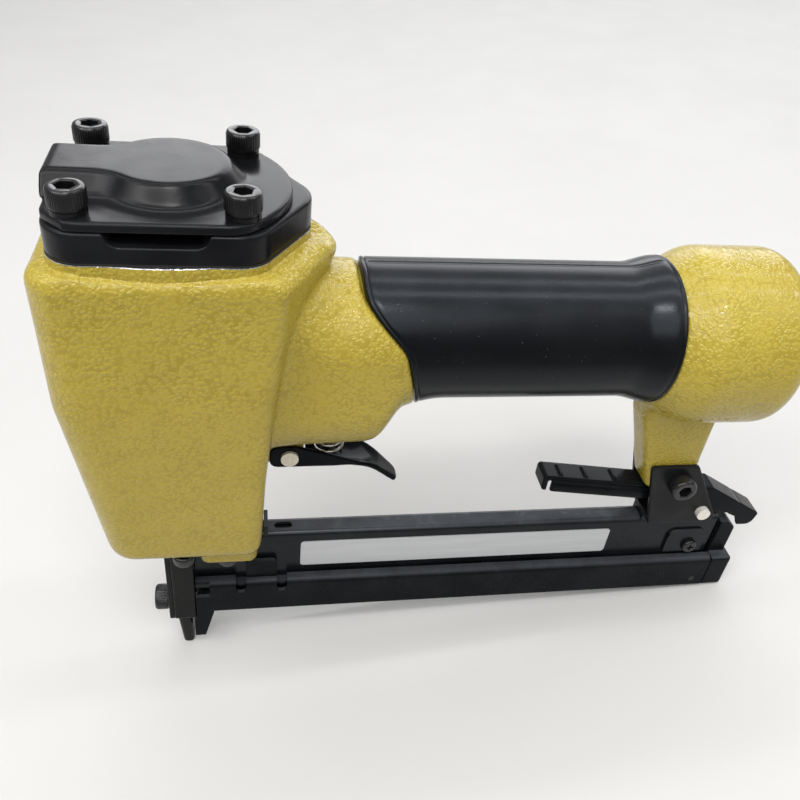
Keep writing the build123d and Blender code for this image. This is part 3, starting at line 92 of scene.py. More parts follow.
SLOTS = {
    "body_enamel": ["body_housing"],
    "grip_rubber": ["grip_sleeve"],
    "cap_enamel": ["cylinder_cap", "exhaust_plate"],
    "gasket_sheet": ["cap_gasket"],
    "black_screws": ["cap_bolts", "nose_bolt", "guide_screws", "rail_screws", "bracket_bolt",
                     "bracket_nut", "rail_end_screw"],
    "washer_steel": ["cap_spring_washers"],
    "cylinder_aluminium": ["cylinder_sleeve", "piston"],
    "seal_rubber": ["sleeve_seal", "piston_seal", "head_valve_seal", "valve_plug_seals",
                    "inlet_sealing_ring"],
    "bumper_rubber": ["bumper"],
    "driver_steel": ["driver_blade", "driver_pin"],
    "valve_plastic": ["head_valve"],
    "spring_steel": ["head_valve_spring", "trigger_spring", "valve_stem_spring",
                     "pusher_spring", "latch_spring"],
    "inlet_steel": ["inlet_plug"],
    "trigger_steel": ["trigger"],
    "trigger_pin_steel": ["trigger_pin"],
    "valve_brass": ["trigger_valve_plug", "valve_stem", "valve_retainer"],
    "nose_steel": ["driver_guide", "nose_cover_plate", "cover_dowel"],
    "rail_steel": ["fixed_rail", "rail_end_plate"],
    "plate_aluminium": ["side_plate"],
    "magazine_steel": ["sliding_magazine", "magazine_end_cap"],
    "rivet_steel": ["end_cap_rivets"],
    "core_steel": ["core_rail"],
    "pusher_steel": ["pusher", "pusher_rod"],
    "bracket_steel": ["latch_bracket"],
    "lever_steel": ["latch_lever"],
    "latch_pin_steel": ["latch_pin"],
}
SLOT_OF = {node: slot for slot, members in SLOTS.items() for node in members}


def new_node(tree, kind, place, **inputs):
    """Shader node with its inputs set by name."""
    made = tree.nodes.new(kind)
    made.location = place
    for key, value in inputs.items():
        made.inputs[key.replace("_", " ")].default_value = value
    return made


WHITE = (1.0, 1.0, 1.0)
BLUISH = (0.84, 0.91, 1.0)
DUST_AND_SHEEN = (0.36, 0.39, 0.44)
SPECK = (0.34, 0.34, 0.33)
GREY_SPECK = (0.30, 0.30, 0.29)
GROUND_METAL = (0.47, 0.47, 0.48)
FACING_UP = (0.3, 0.95)  # upward part of the normal where the dusting and painted sheen start, and where they lie full
MIX_FIRST, MIX_SECOND, MIX_RESULT = 6, 7, 2  # colour sockets of Blender's mix node


class Finish:
    """Procedural material in object coordinates, built up layer by layer."""

    def __init__(self, name, metallic=0.0, specular=0.5, tint=WHITE):
        self.material = bpy.data.materials.new(name)
        self.material.use_nodes = True
        self.tree = self.material.node_tree
        self.shader = self.tree.nodes["Principled BSDF"]
        self.shader.inputs["Metallic"].default_value = metallic
        self.shader.inputs["Specular IOR Level"].default_value = specular
        self.shader.inputs["Specular Tint"].default_value = (*tint, 1.0)
        coordinates = new_node(self.tree, "ShaderNodeTexCoord", (-1400, 0))
        self.place = coordinates.outputs["Object"]
        self.normal = coordinates.outputs["Normal"]

    def link(self, source, target):
        self.tree.links.new(source, target)

    def stretched(self, scale):
        """Object coordinates scaled along each axis."""
        mapping = new_node(self.tree, "ShaderNodeMapping", (-1200, 0), Scale=scale)
        self.link(self.place, mapping.inputs["Vector"])
        return mapping.outputs["Vector"]

    def noise(self, scale, detail=2.0, rough=0.5, vector=None):
        made = new_node(self.tree, "ShaderNodeTexNoise", (-1000, 0), Scale=scale, Detail=detail,
                        Roughness=rough)
        self.link(vector or self.place, made.inputs["Vector"])
        return made.outputs["Fac"]

    def pebbles(self, scale, wander, smooth):
        """Distance from the middles of uneven cells, its places moved about by noise."""
        shake = new_node(self.tree, "ShaderNodeTexNoise", (-1250, -300), Scale=scale, Detail=1.0)
        self.link(self.place, shake.inputs["Vector"])
        moved = self.tree.nodes.new("ShaderNodeVectorMath")
        moved.operation = "MULTIPLY_ADD"
        self.link(shake.outputs["Color"], moved.inputs[0])
        moved.inputs[1].default_value = (wander, wander, wander)
        self.link(self.place, moved.inputs[2])
        cells = new_node(self.tree, "ShaderNodeTexVoronoi", (-1000, -300), Scale=scale)
        cells.feature = "SMOOTH_F1"
        cells.inputs["Smoothness"].default_value = smooth
        self.link(moved.outputs[0], cells.inputs["Vector"])
        return cells.outputs["Distance"]

    def part(self, vector, axis):
        """One coordinate of a vector."""
        apart = new_node(self.tree, "ShaderNodeSeparateXYZ", (-1200, 300))
        self.link(vector, apart.inputs[0])
        return apart.outputs[axis]

    def dust_and_sheen_film(self, colour, amount):
        """Colour with a pale layer where the surface faces up: partly dusting, partly painted sheen
        for the light that upward faces catch.
        """
        # painted sheen: upward faces made paler and bluer as if catching light, partly also dusting
        dust_sheen_layer = self.spread(self.part(self.normal, "Z"), *FACING_UP, 0.0, amount)
        patchy = self.spread(self.noise(70.0, 3.0, 0.6), 0.25, 0.75, 0.6, 1.0)
        return self.mix(self.times(dust_sheen_layer, patchy), colour, DUST_AND_SHEEN)

    def spread(self, source, low, high, to_low=0.0, to_high=1.0):
        """Source between low and high, eased and laid out between two values."""
        made = new_node(self.tree, "ShaderNodeMapRange", (-700, 0))
        made.interpolation_type = "SMOOTHSTEP"
        self.link(source, made.inputs["Value"])
        made.inputs["From Min"].default_value = low
        made.inputs["From Max"].default_value = high
        made.inputs["To Min"].default_value = to_low
        made.inputs["To Max"].default_value = to_high
        return made.outputs["Result"]

    def combined(self, operation, first, second):
        """Two values joined by arithmetic; the second may be a plain number."""
        made = new_node(self.tree, "ShaderNodeMath", (-500, 0))
        made.operation = operation
        self.link(first, made.inputs[0])
        if isinstance(second, float):
            made.inputs[1].default_value = second
        else:
            self.link(second, made.inputs[1])
        return made.outputs[0]

    def times(self, first, second):
        return self.combined("MULTIPLY", first, second)

    def plus(self, first, second):
        return self.combined("ADD", first, second)

    def mix(self, factor, first, second):
        """Colour between two colours or colour outputs."""
        made = self.tree.nodes.new("ShaderNodeMix")
        made.data_type = "RGBA"
        self.link(factor, made.inputs["Factor"])
        for number, value in ((MIX_FIRST, first), (MIX_SECOND, second)):
            if isinstance(value, tuple):
                made.inputs[number].default_value = (*value, 1.0)
            else:
                self.link(value, made.inputs[number])
        return made.outputs[MIX_RESULT]

    def colour(self, source):
        self.link(source, self.shader.inputs["Base Color"])

    def rough(self, source):
        self.link(source, self.shader.inputs["Roughness"])

    def bump(self, height, distance, strength=1.0):
        made = new_node(self.tree, "ShaderNodeBump", (-250, -400), Strength=strength,
                        Distance=distance)
        self.link(height, made.inputs["Height"])
        self.link(made.outputs["Normal"], self.shader.inputs["Normal"])


ENAMEL_TOP = ((0.428, 0.329, 0.045), (0.462, 0.360, 0.051))
# colour of the pebbles' grooves: painted shade where less light gets in
ENAMEL_GROOVE_SHADE = (0.250, 0.178, 0.018)
ENAMEL_SHADE_LOW = (0.262, 0.188, 0.021)
LOW_SHADE_Z = (0.055, 0.150)  # heights in metres between which the painted shade on the lower enamel fades
GROUND_Z = (0.16386, 0.16394)  # heights in metres above which the rim is ground bare
PEBBLES = 920.0  # cells per metre


def hammertone():
    """Yellow hammer enamel: packed pebbles that stand out more in some patches than in others."""
    it = Finish("hammer_enamel", specular=0.38)
    away = it.pebbles(PEBBLES, wander=0.0010, smooth=0.25)
    dome = it.spread(away, 0.20, 0.64, 1.0, 0.0)
    patch = it.spread(it.noise(130.0), 0.34, 0.62, 0.6, 1.0)
    tint = it.noise(38.0, 3.0, 0.6)
    top = it.mix(it.spread(tint, 0.3, 0.7), *ENAMEL_TOP)
    # painted shade: the grooves between pebbles darkened where less light reaches them
    groove = it.times(it.spread(away, 0.52, 0.72, 0.0, 0.43), patch)
    enamel = it.mix(groove, top, ENAMEL_GROOVE_SHADE)
    level = it.part(it.place, "Z")
    # painted shade: the enamel darker towards the bottom, where less light reaches
    shaded = it.mix(it.spread(level, *LOW_SHADE_Z, 0.30, 0.0), enamel, ENAMEL_SHADE_LOW)
    ground = it.spread(level, *GROUND_Z)
    it.colour(it.mix(ground, shaded, GROUND_METAL))
    it.link(ground, it.shader.inputs["Metallic"])
    it.rough(it.spread(it.noise(300.0), 0.3, 0.7, 0.10, 0.17))
    peel = it.times(it.noise(260.0), 0.5)
    it.bump(it.plus(it.times(dome, patch), peel), 0.00017)
    return it.material


def black_enamel(name, colour, rough, specular=0.5, dust_and_sheen=0.0, tint=WHITE):
    """Black coating with a faint orange peel, uneven gloss, and a dusty pale layer with painted sheen
    on top.
    """
    it = Finish(name, specular=specular, tint=tint)
    cloud = it.noise(55.0, 4.0, 0.6)
    lighter = tuple(c * 1.7 + 0.003 for c in colour)
    coat = it.mix(it.spread(cloud, 0.35, 0.75), colour, lighter)
    # painted sheen: a pale layer on upward faces, partly dusting, stands in for the light they catch
    it.colour(it.dust_and_sheen_film(coat, dust_and_sheen))
    it.rough(it.spread(it.noise(140.0, 3.0, 0.6), 0.3, 0.75, *rough))
    it.bump(it.noise(900.0, 2.0, 0.6), 0.00002, 0.6)
    return it.material


def bare_metal(name, colour, rough, brushed=None, deep=0.72, metallic=1.0):
    """Bare metal with drawn or turned marks; a low metallic value makes it satin."""
    it = Finish(name, metallic=metallic)
    vector = it.stretched(brushed) if brushed else it.place
    lines = it.noise(900.0, 3.0, 0.6, vector=vector)
    darker = tuple(c * deep for c in colour)
    it.colour(it.mix(it.spread(lines, 0.3, 0.7), darker, colour))
    it.rough(it.spread(lines, 0.25, 0.75, *rough))
    it.bump(lines, 0.00001, 0.5)
    return it.material


def rubber(name, colour, rough):
    """Plain rubber of seals and gaskets: fine matt grain, rubbed patches and specks."""
    it = Finish(name, specular=0.4)
    patch = it.noise(42.0, 4.0, 0.6)
    specks = it.spread(it.noise(1500.0, 1.0), 0.74, 0.80)
    worn = it.mix(it.spread(patch, 0.35, 0.75), colour, tuple(c * 1.55 for c in colour))
    it.colour(it.mix(it.times(specks, 0.10), worn, GREY_SPECK))
    it.rough(it.spread(patch, 0.3, 0.7, *rough))
    it.bump(it.noise(1100.0, 3.0, 0.7), 0.00006, 0.8)
    return it.material


GRIP_BLACK = ((0.0030, 0.0035, 0.0044), (0.0052, 0.0056, 0.0062))


def grip_finish():
    """Moulded grip: fine grain that breaks up the light, rubbed streaks, dusty specks, and a pale
    layer on top that is partly dusting and partly painted sheen.
    """
    it = Finish("grip_rubber", specular=0.19, tint=BLUISH)
    patch = it.noise(42.0, 4.0, 0.6)
    streak = it.noise(150.0, 4.0, 0.65, vector=it.stretched((0.12, 1.0, 1.0)))
    # painted sheen: a pale layer on upward faces, partly dusting, stands in for the light they catch
    dust_sheen_layer = it.dust_and_sheen_film(it.mix(it.spread(patch, 0.4, 0.75), *GRIP_BLACK), 0.045)
    specks = it.spread(it.noise(1700.0, 1.0), 0.765, 0.80, 0.0, 0.24)
    it.colour(it.mix(specks, dust_sheen_layer, SPECK))
    it.rough(it.spread(streak, 0.3, 0.7, 0.19, 0.27))
    it.bump(it.noise(1500.0, 2.0, 0.6), 0.00003)
    return it.material


def plastic(name, colour, rough):
    """Plain moulded part inside the tool."""
    it = Finish(name)
    cloud = it.noise(120.0, 3.0)
    it.colour(it.mix(it.spread(cloud, 0.3, 0.7), colour, tuple(c * 0.8 for c in colour)))
    it.rough(it.spread(cloud, 0.3, 0.7, *rough))
    it.bump(it.noise(800.0), 0.00001, 0.5)
    return it.material


# Finishes by slot: colour, range of roughness, then gloss, dusting with painted sheen, and tint where
# they differ
ALONG_X = (0.04, 1.0, 1.0)
MATERIALS = {
    "body_enamel": hammertone(),
    "grip_rubber": grip_finish(),
    "cap_enamel": black_enamel(
        "cap_enamel", (0.0045, 0.0048, 0.0058), (0.20, 0.28), specular=0.17),
    # gasket: dark rubber, dark also as painted shade under the plate's edge
    "gasket_sheet": rubber("gasket_sheet", (0.012, 0.012, 0.012), (0.5, 0.65)),
    "black_screws": black_enamel(
        "black_oxide", (0.0035, 0.0035, 0.004), (0.17, 0.28), specular=0.48),
    "washer_steel": black_enamel(
        "washer_black", (0.004, 0.004, 0.0045), (0.22, 0.34), specular=0.25),
    "cylinder_aluminium": bare_metal("cylinder_aluminium", (0.75, 0.75, 0.76), (0.25, 0.4)),
    "seal_rubber": rubber("seal_rubber", (0.012, 0.012, 0.012), (0.45, 0.6)),
    "bumper_rubber": rubber("bumper_rubber", (0.03, 0.03, 0.03), (0.5, 0.65)),
    "driver_steel": bare_metal("driver_steel", (0.55, 0.55, 0.56), (0.25, 0.4)),
    "valve_plastic": plastic("valve_plastic", (0.62, 0.60, 0.55), (0.4, 0.55)),
    "spring_steel": bare_metal("spring_steel", (0.66, 0.66, 0.66), (0.20, 0.32)),
    "inlet_steel": bare_metal("inlet_steel", (0.60, 0.60, 0.61), (0.25, 0.38)),
    "trigger_steel": black_enamel(
        "trigger_black", (0.0020, 0.0024, 0.0032), (0.14, 0.22), specular=0.07, tint=BLUISH),
    "trigger_pin_steel": bare_metal(
        "trigger_pin_steel", (0.80, 0.74, 0.62), (0.35, 0.5), deep=0.85, metallic=0.3),
    "valve_brass": bare_metal("valve_brass", (0.72, 0.55, 0.25), (0.25, 0.4)),
    "nose_steel": black_enamel(
        "nose_black", (0.0035, 0.0035, 0.0035), (0.25, 0.38), specular=0.15),
    # rail, magazine and lever: the dusting amount also paints sheen on their upward faces
    "rail_steel": black_enamel(
        "rail_black", (0.0026, 0.003, 0.0038), (0.20, 0.30), specular=0.22, dust_and_sheen=0.13, tint=BLUISH),
    "plate_aluminium": bare_metal(
        "plate_aluminium", (0.56, 0.57, 0.58), (0.32, 0.42), ALONG_X, deep=0.90, metallic=0.45),
    "magazine_steel": black_enamel(
        "magazine_black", (0.0034, 0.0038, 0.0046), (0.22, 0.34), specular=0.07, dust_and_sheen=0.125,
        tint=BLUISH),
    "rivet_steel": black_enamel("rivet_black", (0.008, 0.008, 0.008), (0.25, 0.4), specular=0.3),
    "core_steel": bare_metal("core_steel", (0.55, 0.55, 0.56), (0.25, 0.4), ALONG_X),
    "pusher_steel": bare_metal("pusher_steel", (0.58, 0.58, 0.58), (0.25, 0.4)),
    "bracket_steel": black_enamel(
        "bracket_black", (0.0052, 0.0056, 0.0056), (0.30, 0.42), specular=0.15),
    "lever_steel": black_enamel(
        "lever_black", (0.0022, 0.0025, 0.0030), (0.16, 0.26), specular=0.08, dust_and_sheen=0.012, tint=BLUISH),
    "latch_pin_steel": bare_metal(
        "latch_pin_steel", (0.80, 0.77, 0.70), (0.30, 0.45), deep=0.9, metallic=0.3),
}

for name, node in nodes.items():
    node.data.materials.clear()
    node.data.materials.append(MATERIALS[SLOT_OF[name]])


def piece(name, mesh, replaced):
    """New piece that stands for a CAD node, with its body and finish."""
    made = bpy.data.objects.new(name, mesh)
    scene.collection.objects.link(made)
    slot = SLOT_OF[replaced]
    mesh.materials.clear()
    mesh.materials.append(MATERIALS[slot])
    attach(made, nodes[replaced]["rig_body"])
    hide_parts(replaced)


def shade(mesh, angle):
    """Smooth shading, with edges sharper than the angle kept crisp."""
    mesh.shade_smooth()
    mesh.set_sharp_from_angle(angle=math.radians(angle))


WELD = 2e-6  # metres between vertices that are one


def welded(node):
    """Copy of a CAD node's mesh with its split vertices joined."""
    work = bmesh.new()
    work.from_mesh(nodes[node].data)
    bmesh.ops.remove_doubles(work, verts=work.verts, dist=WELD)
    mesh = bpy.data.meshes.new(node + "_copy")
    work.to_mesh(mesh)
    work.free()
    if "custom_normal" in mesh.attributes:
        mesh.attributes.remove(mesh.attributes["custom_normal"])
    return mesh


def remeshed(mesh, voxel):
    """Even quads over a closed mesh, at a voxel size in millimetres."""
    carrier = bpy.data.objects.new("carrier", mesh)
    scene.collection.objects.link(carrier)
    modifier = carrier.modifiers.new("voxels", "REMESH")
    modifier.mode = "VOXEL"
    modifier.voxel_size = voxel * MM
    graph = bpy.context.evaluated_depsgraph_get()
    made = bpy.data.meshes.new_from_object(carrier.evaluated_get(graph))
    bpy.data.objects.remove(carrier)
    return made


def points_of(mesh):
    """Vertices in millimetres."""
    flat = np.empty(len(mesh.vertices) * 3)
    mesh.vertices.foreach_get("co", flat)
    return flat.reshape(-1, 3) / MM


def put_points(mesh, place):
    """Moves the vertices to places in millimetres."""
    mesh.vertices.foreach_set("co", (place * MM).ravel())
    mesh.update()


def relaxed(mesh, rounds, free):
    """Rounds of averaging with the neighbours; free gives each vertex's share, 0 to hold it."""
    place = points_of(mesh)
    ends = np.empty(len(mesh.edges) * 2, dtype=np.int64)
    mesh.edges.foreach_get("vertices", ends)
    first, second = ends[0::2], ends[1::2]
    count = len(place)
    degree = np.bincount(ends, minlength=count).clip(1)
    share = 0.5 * free(place)[:, None]
    for _ in range(rounds):
        total = np.empty_like(place)
        for axis in range(3):
            column = place[:, axis]
            total[:, axis] = np.bincount(first, column[second], count)
            total[:, axis] += np.bincount(second, column[first], count)
        place = place + share * (total / degree[:, None] - place)
    put_points(mesh, place)
    return mesh


def ramp(value, low, high):
    """0 up to low, 1 from high, straight between."""
    return np.clip((value - low) / (high - low), 0.0, 1.0)


def within(value, span):
    return (value > span[0]) & (value < span[1])


# Casting: what stays as the solid has it, and how much the rest may soften
CASTING_VOXEL = 0.5
CASTING_ROUNDS = 22
CASTING_CREASE = 80  # degrees
HEAD_HELD = (150.0, 157.0)  # softening fades out between these heights
CHAMBER_HELD = (CHAMBER_R + 0.9, 66.0)  # radius and lowest height of the chamber's wall
GRIP_SEAT = ((46.0, 140.5), 18.4)  # length and radius
BARREL_BORE = (130.0, 22.5)  # start and radius
BARREL_FACE = (175.4, 176.4)
NOSE_SEAT_Z = 55.0
NOSE_EDGE_Z = 64.0
NOSE_EDGE_SHARE = 0.3
LUGS = ((22.0, 50.0), 9.0, (82.0, 97.0))  # trigger lugs' length, half width and heights
LUGS_SHARE = 0.15
POST_HOLE = (4.0, 7.5)  # radius held round the bracket screw, and half width
POST_FOOT = (140.0, 84.0)  # front and top of the post's foot
POST_SHARE = 0.25


def casting_free(place):
    """Where the casting may soften: not at bores, mating faces and the grip's seat."""
    x, y, z = place.T
    free = np.ones(len(place))
    free *= 1.0 - ramp(z, *HEAD_HELD)
    free[(np.hypot(x, y) < CHAMBER_HELD[0]) & (z > CHAMBER_HELD[1])] = 0.0
    free[within(x, GRIP_SEAT[0]) & (np.hypot(y, z - HANDLE_Z) < GRIP_SEAT[1])] = 0.0
    free[(x > BARREL_BORE[0]) & (np.hypot(y, z - BARREL_Z) < BARREL_BORE[1])] = 0.0
    free *= 1.0 - ramp(x, *BARREL_FACE)
    free[z < NOSE_SEAT_Z] = 0.0
    free[(z < NOSE_EDGE_Z) & (free > NOSE_EDGE_SHARE)] = NOSE_EDGE_SHARE
    free[within(x, LUGS[0]) & (np.abs(y) < LUGS[1]) & within(z, LUGS[2])] *= LUGS_SHARE
    bolt = np.hypot(x - POST_BOLT[0], z - POST_BOLT[1])
    free[(bolt < POST_HOLE[0]) & (np.abs(y) < POST_HOLE[1])] = 0.0
    free[(z < POST_FOOT[1]) & (x > POST_FOOT[0])] *= POST_SHARE
    return free


CORNER_STEPS = 40
SIDE_STEPS = 60
SHORT_SIDE = 2.0  # gaps between points that are longer than this are filled


def plate_line():
    """Points and outward normals along the exhaust plate's outline."""
    front, side, rear, vee = PLATE
    corners = np.array([(-front, -side), (rear, -side), (rear + vee, 0.0), (rear, side),
                        (-front, side)])
    points, normals = [], []
    for here, radius in enumerate(PLATE_ROUND):
        into = corners[here] - corners[here - 1]
        away = corners[(here + 1) % len(corners)] - corners[here]
        start = math.atan2(-into[0], into[1])
        turn = (math.atan2(-away[0], away[1]) - start) % (2 * math.pi)
        middle = start + turn / 2
        reach = radius / math.cos(turn / 2)
        centre = corners[here] - reach * np.array((math.cos(middle), math.sin(middle)))
        for angle in start + turn * np.linspace(0.0, 1.0, CORNER_STEPS):
            normal = np.array((math.cos(angle), math.sin(angle)))
            points.append(centre + radius * normal)
            normals.append(normal)
    points, normals = np.array(points), np.array(normals)
    ahead = np.roll(points, -1, axis=0)
    steps = np.linspace(0.0, 1.0, SIDE_STEPS, endpoint=False)
    long = np.linalg.norm(ahead - points, axis=1) > SHORT_SIDE
    between = [points[long] + share * (ahead - points)[long] for share in steps]
    points = np.concatenate([points, *between])
    normals = np.concatenate([normals] + [normals[long]] * len(steps))
    return points, normals


def refined(mesh, wanted):
    """Mesh with the edges whose two ends are wanted cut in half."""
    work = bmesh.new()
    work.from_mesh(mesh)
    work.verts.ensure_lookup_table()
    keep = wanted(points_of(mesh))
    edges = [e for e in work.edges if keep[e.verts[0].index] and keep[e.verts[1].index]]
    bmesh.ops.subdivide_edges(work, edges=edges, cuts=1, use_grid_fill=True)
    made = bpy.data.meshes.new("refined")
    work.to_mesh(made)
    work.free()
    return made


# Head's crown: a rim that bows over the plate's sides, a gutter at its foot and a bead below
CROWN_LOW = BULGE_Z - 1.0
CROWN_INNER = CHAMBER_R + 2.5
CROWN_REAR = PLATE[2] + PLATE[3] + 8.0
CROWN_EASE = (3, 0.6)  # rounds of relaxing and share
RIM_PROUD = 0.95  # rim past the plate at the middle of a side
RIM_TOP_BAND = 0.2
RIM_EDGE_BAND = 0.25
PLATE_INSIDE = -1.0  # crown's inner edge from the plate's outline
BOW_FALL = 1.15
BOW_HALF = 12.5
BOW_LEAST = 0.05
TURNED_BACK = (0.15, 0.4)  # backward part of the normal where the bow fades
GUTTER_Z = 160.6
GUTTER_RISE = 1.2
GUTTER_HALF = 20.0
GUTTER_STEP = 0.12
HEAD_PAST = (2.55, 4.8, 8.1)  # head past the plate at its sides, front and rear
BEAD_FULLNESS = 0.8


def on_crown(place):
    """Outer side of the head between its widest line and the rim's top."""
    x, y, z = place.T
    return (z > CROWN_LOW) & (np.hypot(x, y) > CROWN_INNER) & (x < CROWN_REAR)


def crowned(mesh):
    """Bows the rim over the plate's sides, deepens its foot to a gutter and fills the bead below."""
    place = points_of(mesh)
    line, outward = plate_line()
    wanted = np.flatnonzero(on_crown(place) & (place[:, 2] > BULGE_Z))
    flat = place[wanted, :2]
    nearest = np.array([np.argmin(((line - spot) ** 2).sum(axis=1)) for spot in flat])
    normal = outward[nearest]
    proud = ((flat - line[nearest]) * normal).sum(axis=1)
    z = place[wanted, 2]
    across = np.abs(flat[:, 0] * normal[:, 1]) + np.abs(flat[:, 1] * normal[:, 0])
    behind = ramp(normal[:, 0], *TURNED_BACK)
    bow = np.clip(1.0 - BOW_FALL * (across / BOW_HALF) ** 2, BOW_LEAST, 1.0) * (1.0 - behind)
    margin = RIM_PROUD * (bow + BOW_LEAST * behind)
    foot_z = GUTTER_Z + GUTTER_RISE * np.clip(across / GUTTER_HALF, 0.0, 1.0) ** 2
    side, front, rear = HEAD_PAST
    overhang = side * normal[:, 1] ** 2 + np.where(normal[:, 0] < 0, front, rear) * normal[:, 0] ** 2
    rise = np.clip((z - BULGE_Z) / (LEDGE_Z - BULGE_Z), 0.0, 1.0)
    swell = np.sqrt(1.0 - rise ** 2)
    down = np.clip((RIM_Z - z) / (RIM_Z - LEDGE_Z), 0.0, 1.0)
    foot = margin + GUTTER_STEP
    was = RIM_MARGIN + (overhang - RIM_MARGIN) * swell
    bead = proud + foot + (overhang - foot) * swell ** BEAD_FULLNESS - was
    top = (z > RIM_Z - RIM_TOP_BAND) & (proud < RIM_MARGIN - RIM_EDGE_BAND)
    upright = (z >= LEDGE_Z) & ~top
    new_proud = np.where(upright, margin + GUTTER_STEP * down, bead)
    new_proud = np.where(top, np.where(proud > 0, proud * margin / RIM_MARGIN, proud), new_proud)
    new_z = np.where(upright, RIM_Z - down * (RIM_Z - foot_z), BULGE_Z + rise * (foot_z - BULGE_Z))
    new_z = np.where(top, RIM_Z, new_z)
    outer = proud > PLATE_INSIDE
    place[wanted[outer], :2] += (normal * (new_proud - proud)[:, None])[outer]
    place[wanted[outer], 2] = new_z[outer]
    put_points(mesh, place)
    rounds, share = CROWN_EASE
    return relaxed(mesh, rounds, lambda spots: share * on_crown(spots))


HEEL_DEPTH = (9.0, 19.5)  # below the handle's axis
HEEL_LENGTH = (53.0, 67.0)
HEEL_END = 71.0
HEEL_SWEEP = 1.5
HEEL_OUTSIDE = CORE_R + 1.2


def heeled(mesh):
    """Draws the neck's heel down to the flared front corner of the grip."""
    place = points_of(mesh)
    x, y, z = place.T
    low = ramp(HANDLE_Z - z, *HEEL_DEPTH)
    outside = (np.hypot(y, z - HANDLE_Z) > HEEL_OUTSIDE) * (x < HEEL_END)
    place[:, 2] -= HEEL_DROP * low * (ramp(x, *HEEL_LENGTH) ** HEEL_SWEEP * outside)
    put_points(mesh, place)
    return mesh


housing = relaxed(remeshed(welded("body_housing"), CASTING_VOXEL), CASTING_ROUNDS, casting_free)
housing = crowned(refined(heeled(housing), on_crown))
shade(housing, CASTING_CREASE)
piece("casting", housing, "body_housing")

# Cap and exhaust plate
PRESSED_CREASE = 50  # degrees
CAP_VOXEL = 0.35
CAP_ROUNDS = 6
CAP_SEAT = (172.1, 172.7)
CAP_SCREW_SEAT_R = 5.0
FOOT_ROUNDS = 40
FOOT_RISE = (174.0, 174.2)  # heights between which the dome's foot starts to sweep, and ends
FOOT_END = (176.2, 178.0)
FOOT_HALF = 22.5
FOOT_R = 29.0
FOOT_FRONT = -23.5
cap_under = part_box("cylinder_cap")[0][2] / MM
VALVE_ROOM = (14.4, cap_under + 4.6)  # radius and top of the room for the lifted head valve
PLATE_VOXEL = 0.4
PLATE_ROUNDS = 3
PLATE_SEAT = (164.75, 165.2)


def cap_free(place):
    """Where the cap may soften: not at its seats, nor in the room over the head valve."""
    x, y, z = place.T
    free = ramp(z, *CAP_SEAT)
    free[(np.hypot(x, y) < VALVE_ROOM[0]) & (z < VALVE_ROOM[1])] = 0.0
    bolts = np.hypot(np.abs(x) - BOLT_HALF, np.abs(y) - BOLT_HALF)
    free[bolts < CAP_SCREW_SEAT_R] = 0.0
    return free


def dome_foot_free(place):
    """Band round the dome's foot, where its side sweeps out into the flange."""
    x, y, z = place.T
    free = cap_free(place) * ramp(z, *FOOT_RISE) * (1.0 - ramp(z, *FOOT_END))
    free *= (np.abs(y) < FOOT_HALF) & (np.hypot(x, y) < FOOT_R) & (x > FOOT_FRONT)
    return free


cap = relaxed(remeshed(welded("cylinder_cap"), CAP_VOXEL), CAP_ROUNDS, cap_free)
cap = relaxed(cap, FOOT_ROUNDS, dome_foot_free)
shade(cap, PRESSED_CREASE)
piece("cap", cap, "cylinder_cap")


def plate_free(place):
    return ramp(place[:, 2], *PLATE_SEAT)


def everywhere(place):
    return np.ones(len(place))


def softened(name, node, voxel, rounds, free=everywhere, angle=PRESSED_CREASE, detail=None):
    """Copy of a node with its sharp edges eased, for pressed and cast small parts."""
    mesh = relaxed(remeshed(welded(node), voxel), rounds, free)
    if detail:
        detail(mesh)
    shade(mesh, angle)
    piece(name, mesh, node)


softened("plate", "exhaust_plate", PLATE_VOXEL, PLATE_ROUNDS, plate_free)

# Trigger: eye round its pin, and the dished finger
TRIGGER_EYE = (2.9, 3.6)
DISH_START = (43.0, 50.0)
DISH_END = (58.0, 65.0)
DISH_HALF = 6.0
DISH_DEPTH = 0.9
FINGER_ROUNDS = 40
FINGER = (45.0, 52.0)


def from_pin(place, pin):
    """Distance from a cross pin's axis."""
    return np.hypot(place[:, 0] - pin[0], place[:, 2] - pin[1])


def trigger_free(place):
    return ramp(from_pin(place, TRIGGER_PIN), *TRIGGER_EYE)


def trigger_spoon(mesh):
    """Dishes the finger end and rounds its edges."""
    place = points_of(mesh)
    x, y, z = place.T
    dish = ramp(x, *DISH_START) * (1.0 - ramp(x, *DISH_END))
    place[:, 2] -= DISH_DEPTH * dish * np.clip(1.0 - (y / DISH_HALF) ** 2, 0.0, 1.0)
    put_points(mesh, place)
    relaxed(mesh, FINGER_ROUNDS, lambda spots: ramp(spots[:, 0], *FINGER))


# Latch lever: eye, ribs across the arm, groove and rolled flange along it, hook behind
LATCH_EYE = (2.7, 3.4)
ARM_END = 150.0
RIB_HALF = (1.3, 3.0)  # half length and half width
RIB_BAND = 0.25
RIB_SHARE = 0.12
RIB_RAISE = 0.6
FLANGE_START = (LEVER_TIP + 3.1, LEVER_TIP + 5.0)
FLANGE_END = (164.0, 168.0)
FLANGE_SIDE = (3.2, 3.6)
GROOVE = (1.45, 0.33, 0.5)  # depth below the arm's top, half width and how deep it is cut
ROLL = (4.1, 2.3, 0.95)  # depth below the arm's top, half height and how far it stands out
HOOK_START = (180.0, 184.0)
HOOK_END = (191.0, 195.0)
HOOK_UNDER = (58.5, 61.5)
HOOK_DROP = 1.4


def lever_depth(place):
    """Depth below the top line of the lever's arm."""
    return LEVER_TOP - LEVER_FALL * (place[:, 0] - LEVER_TIP) - place[:, 2]


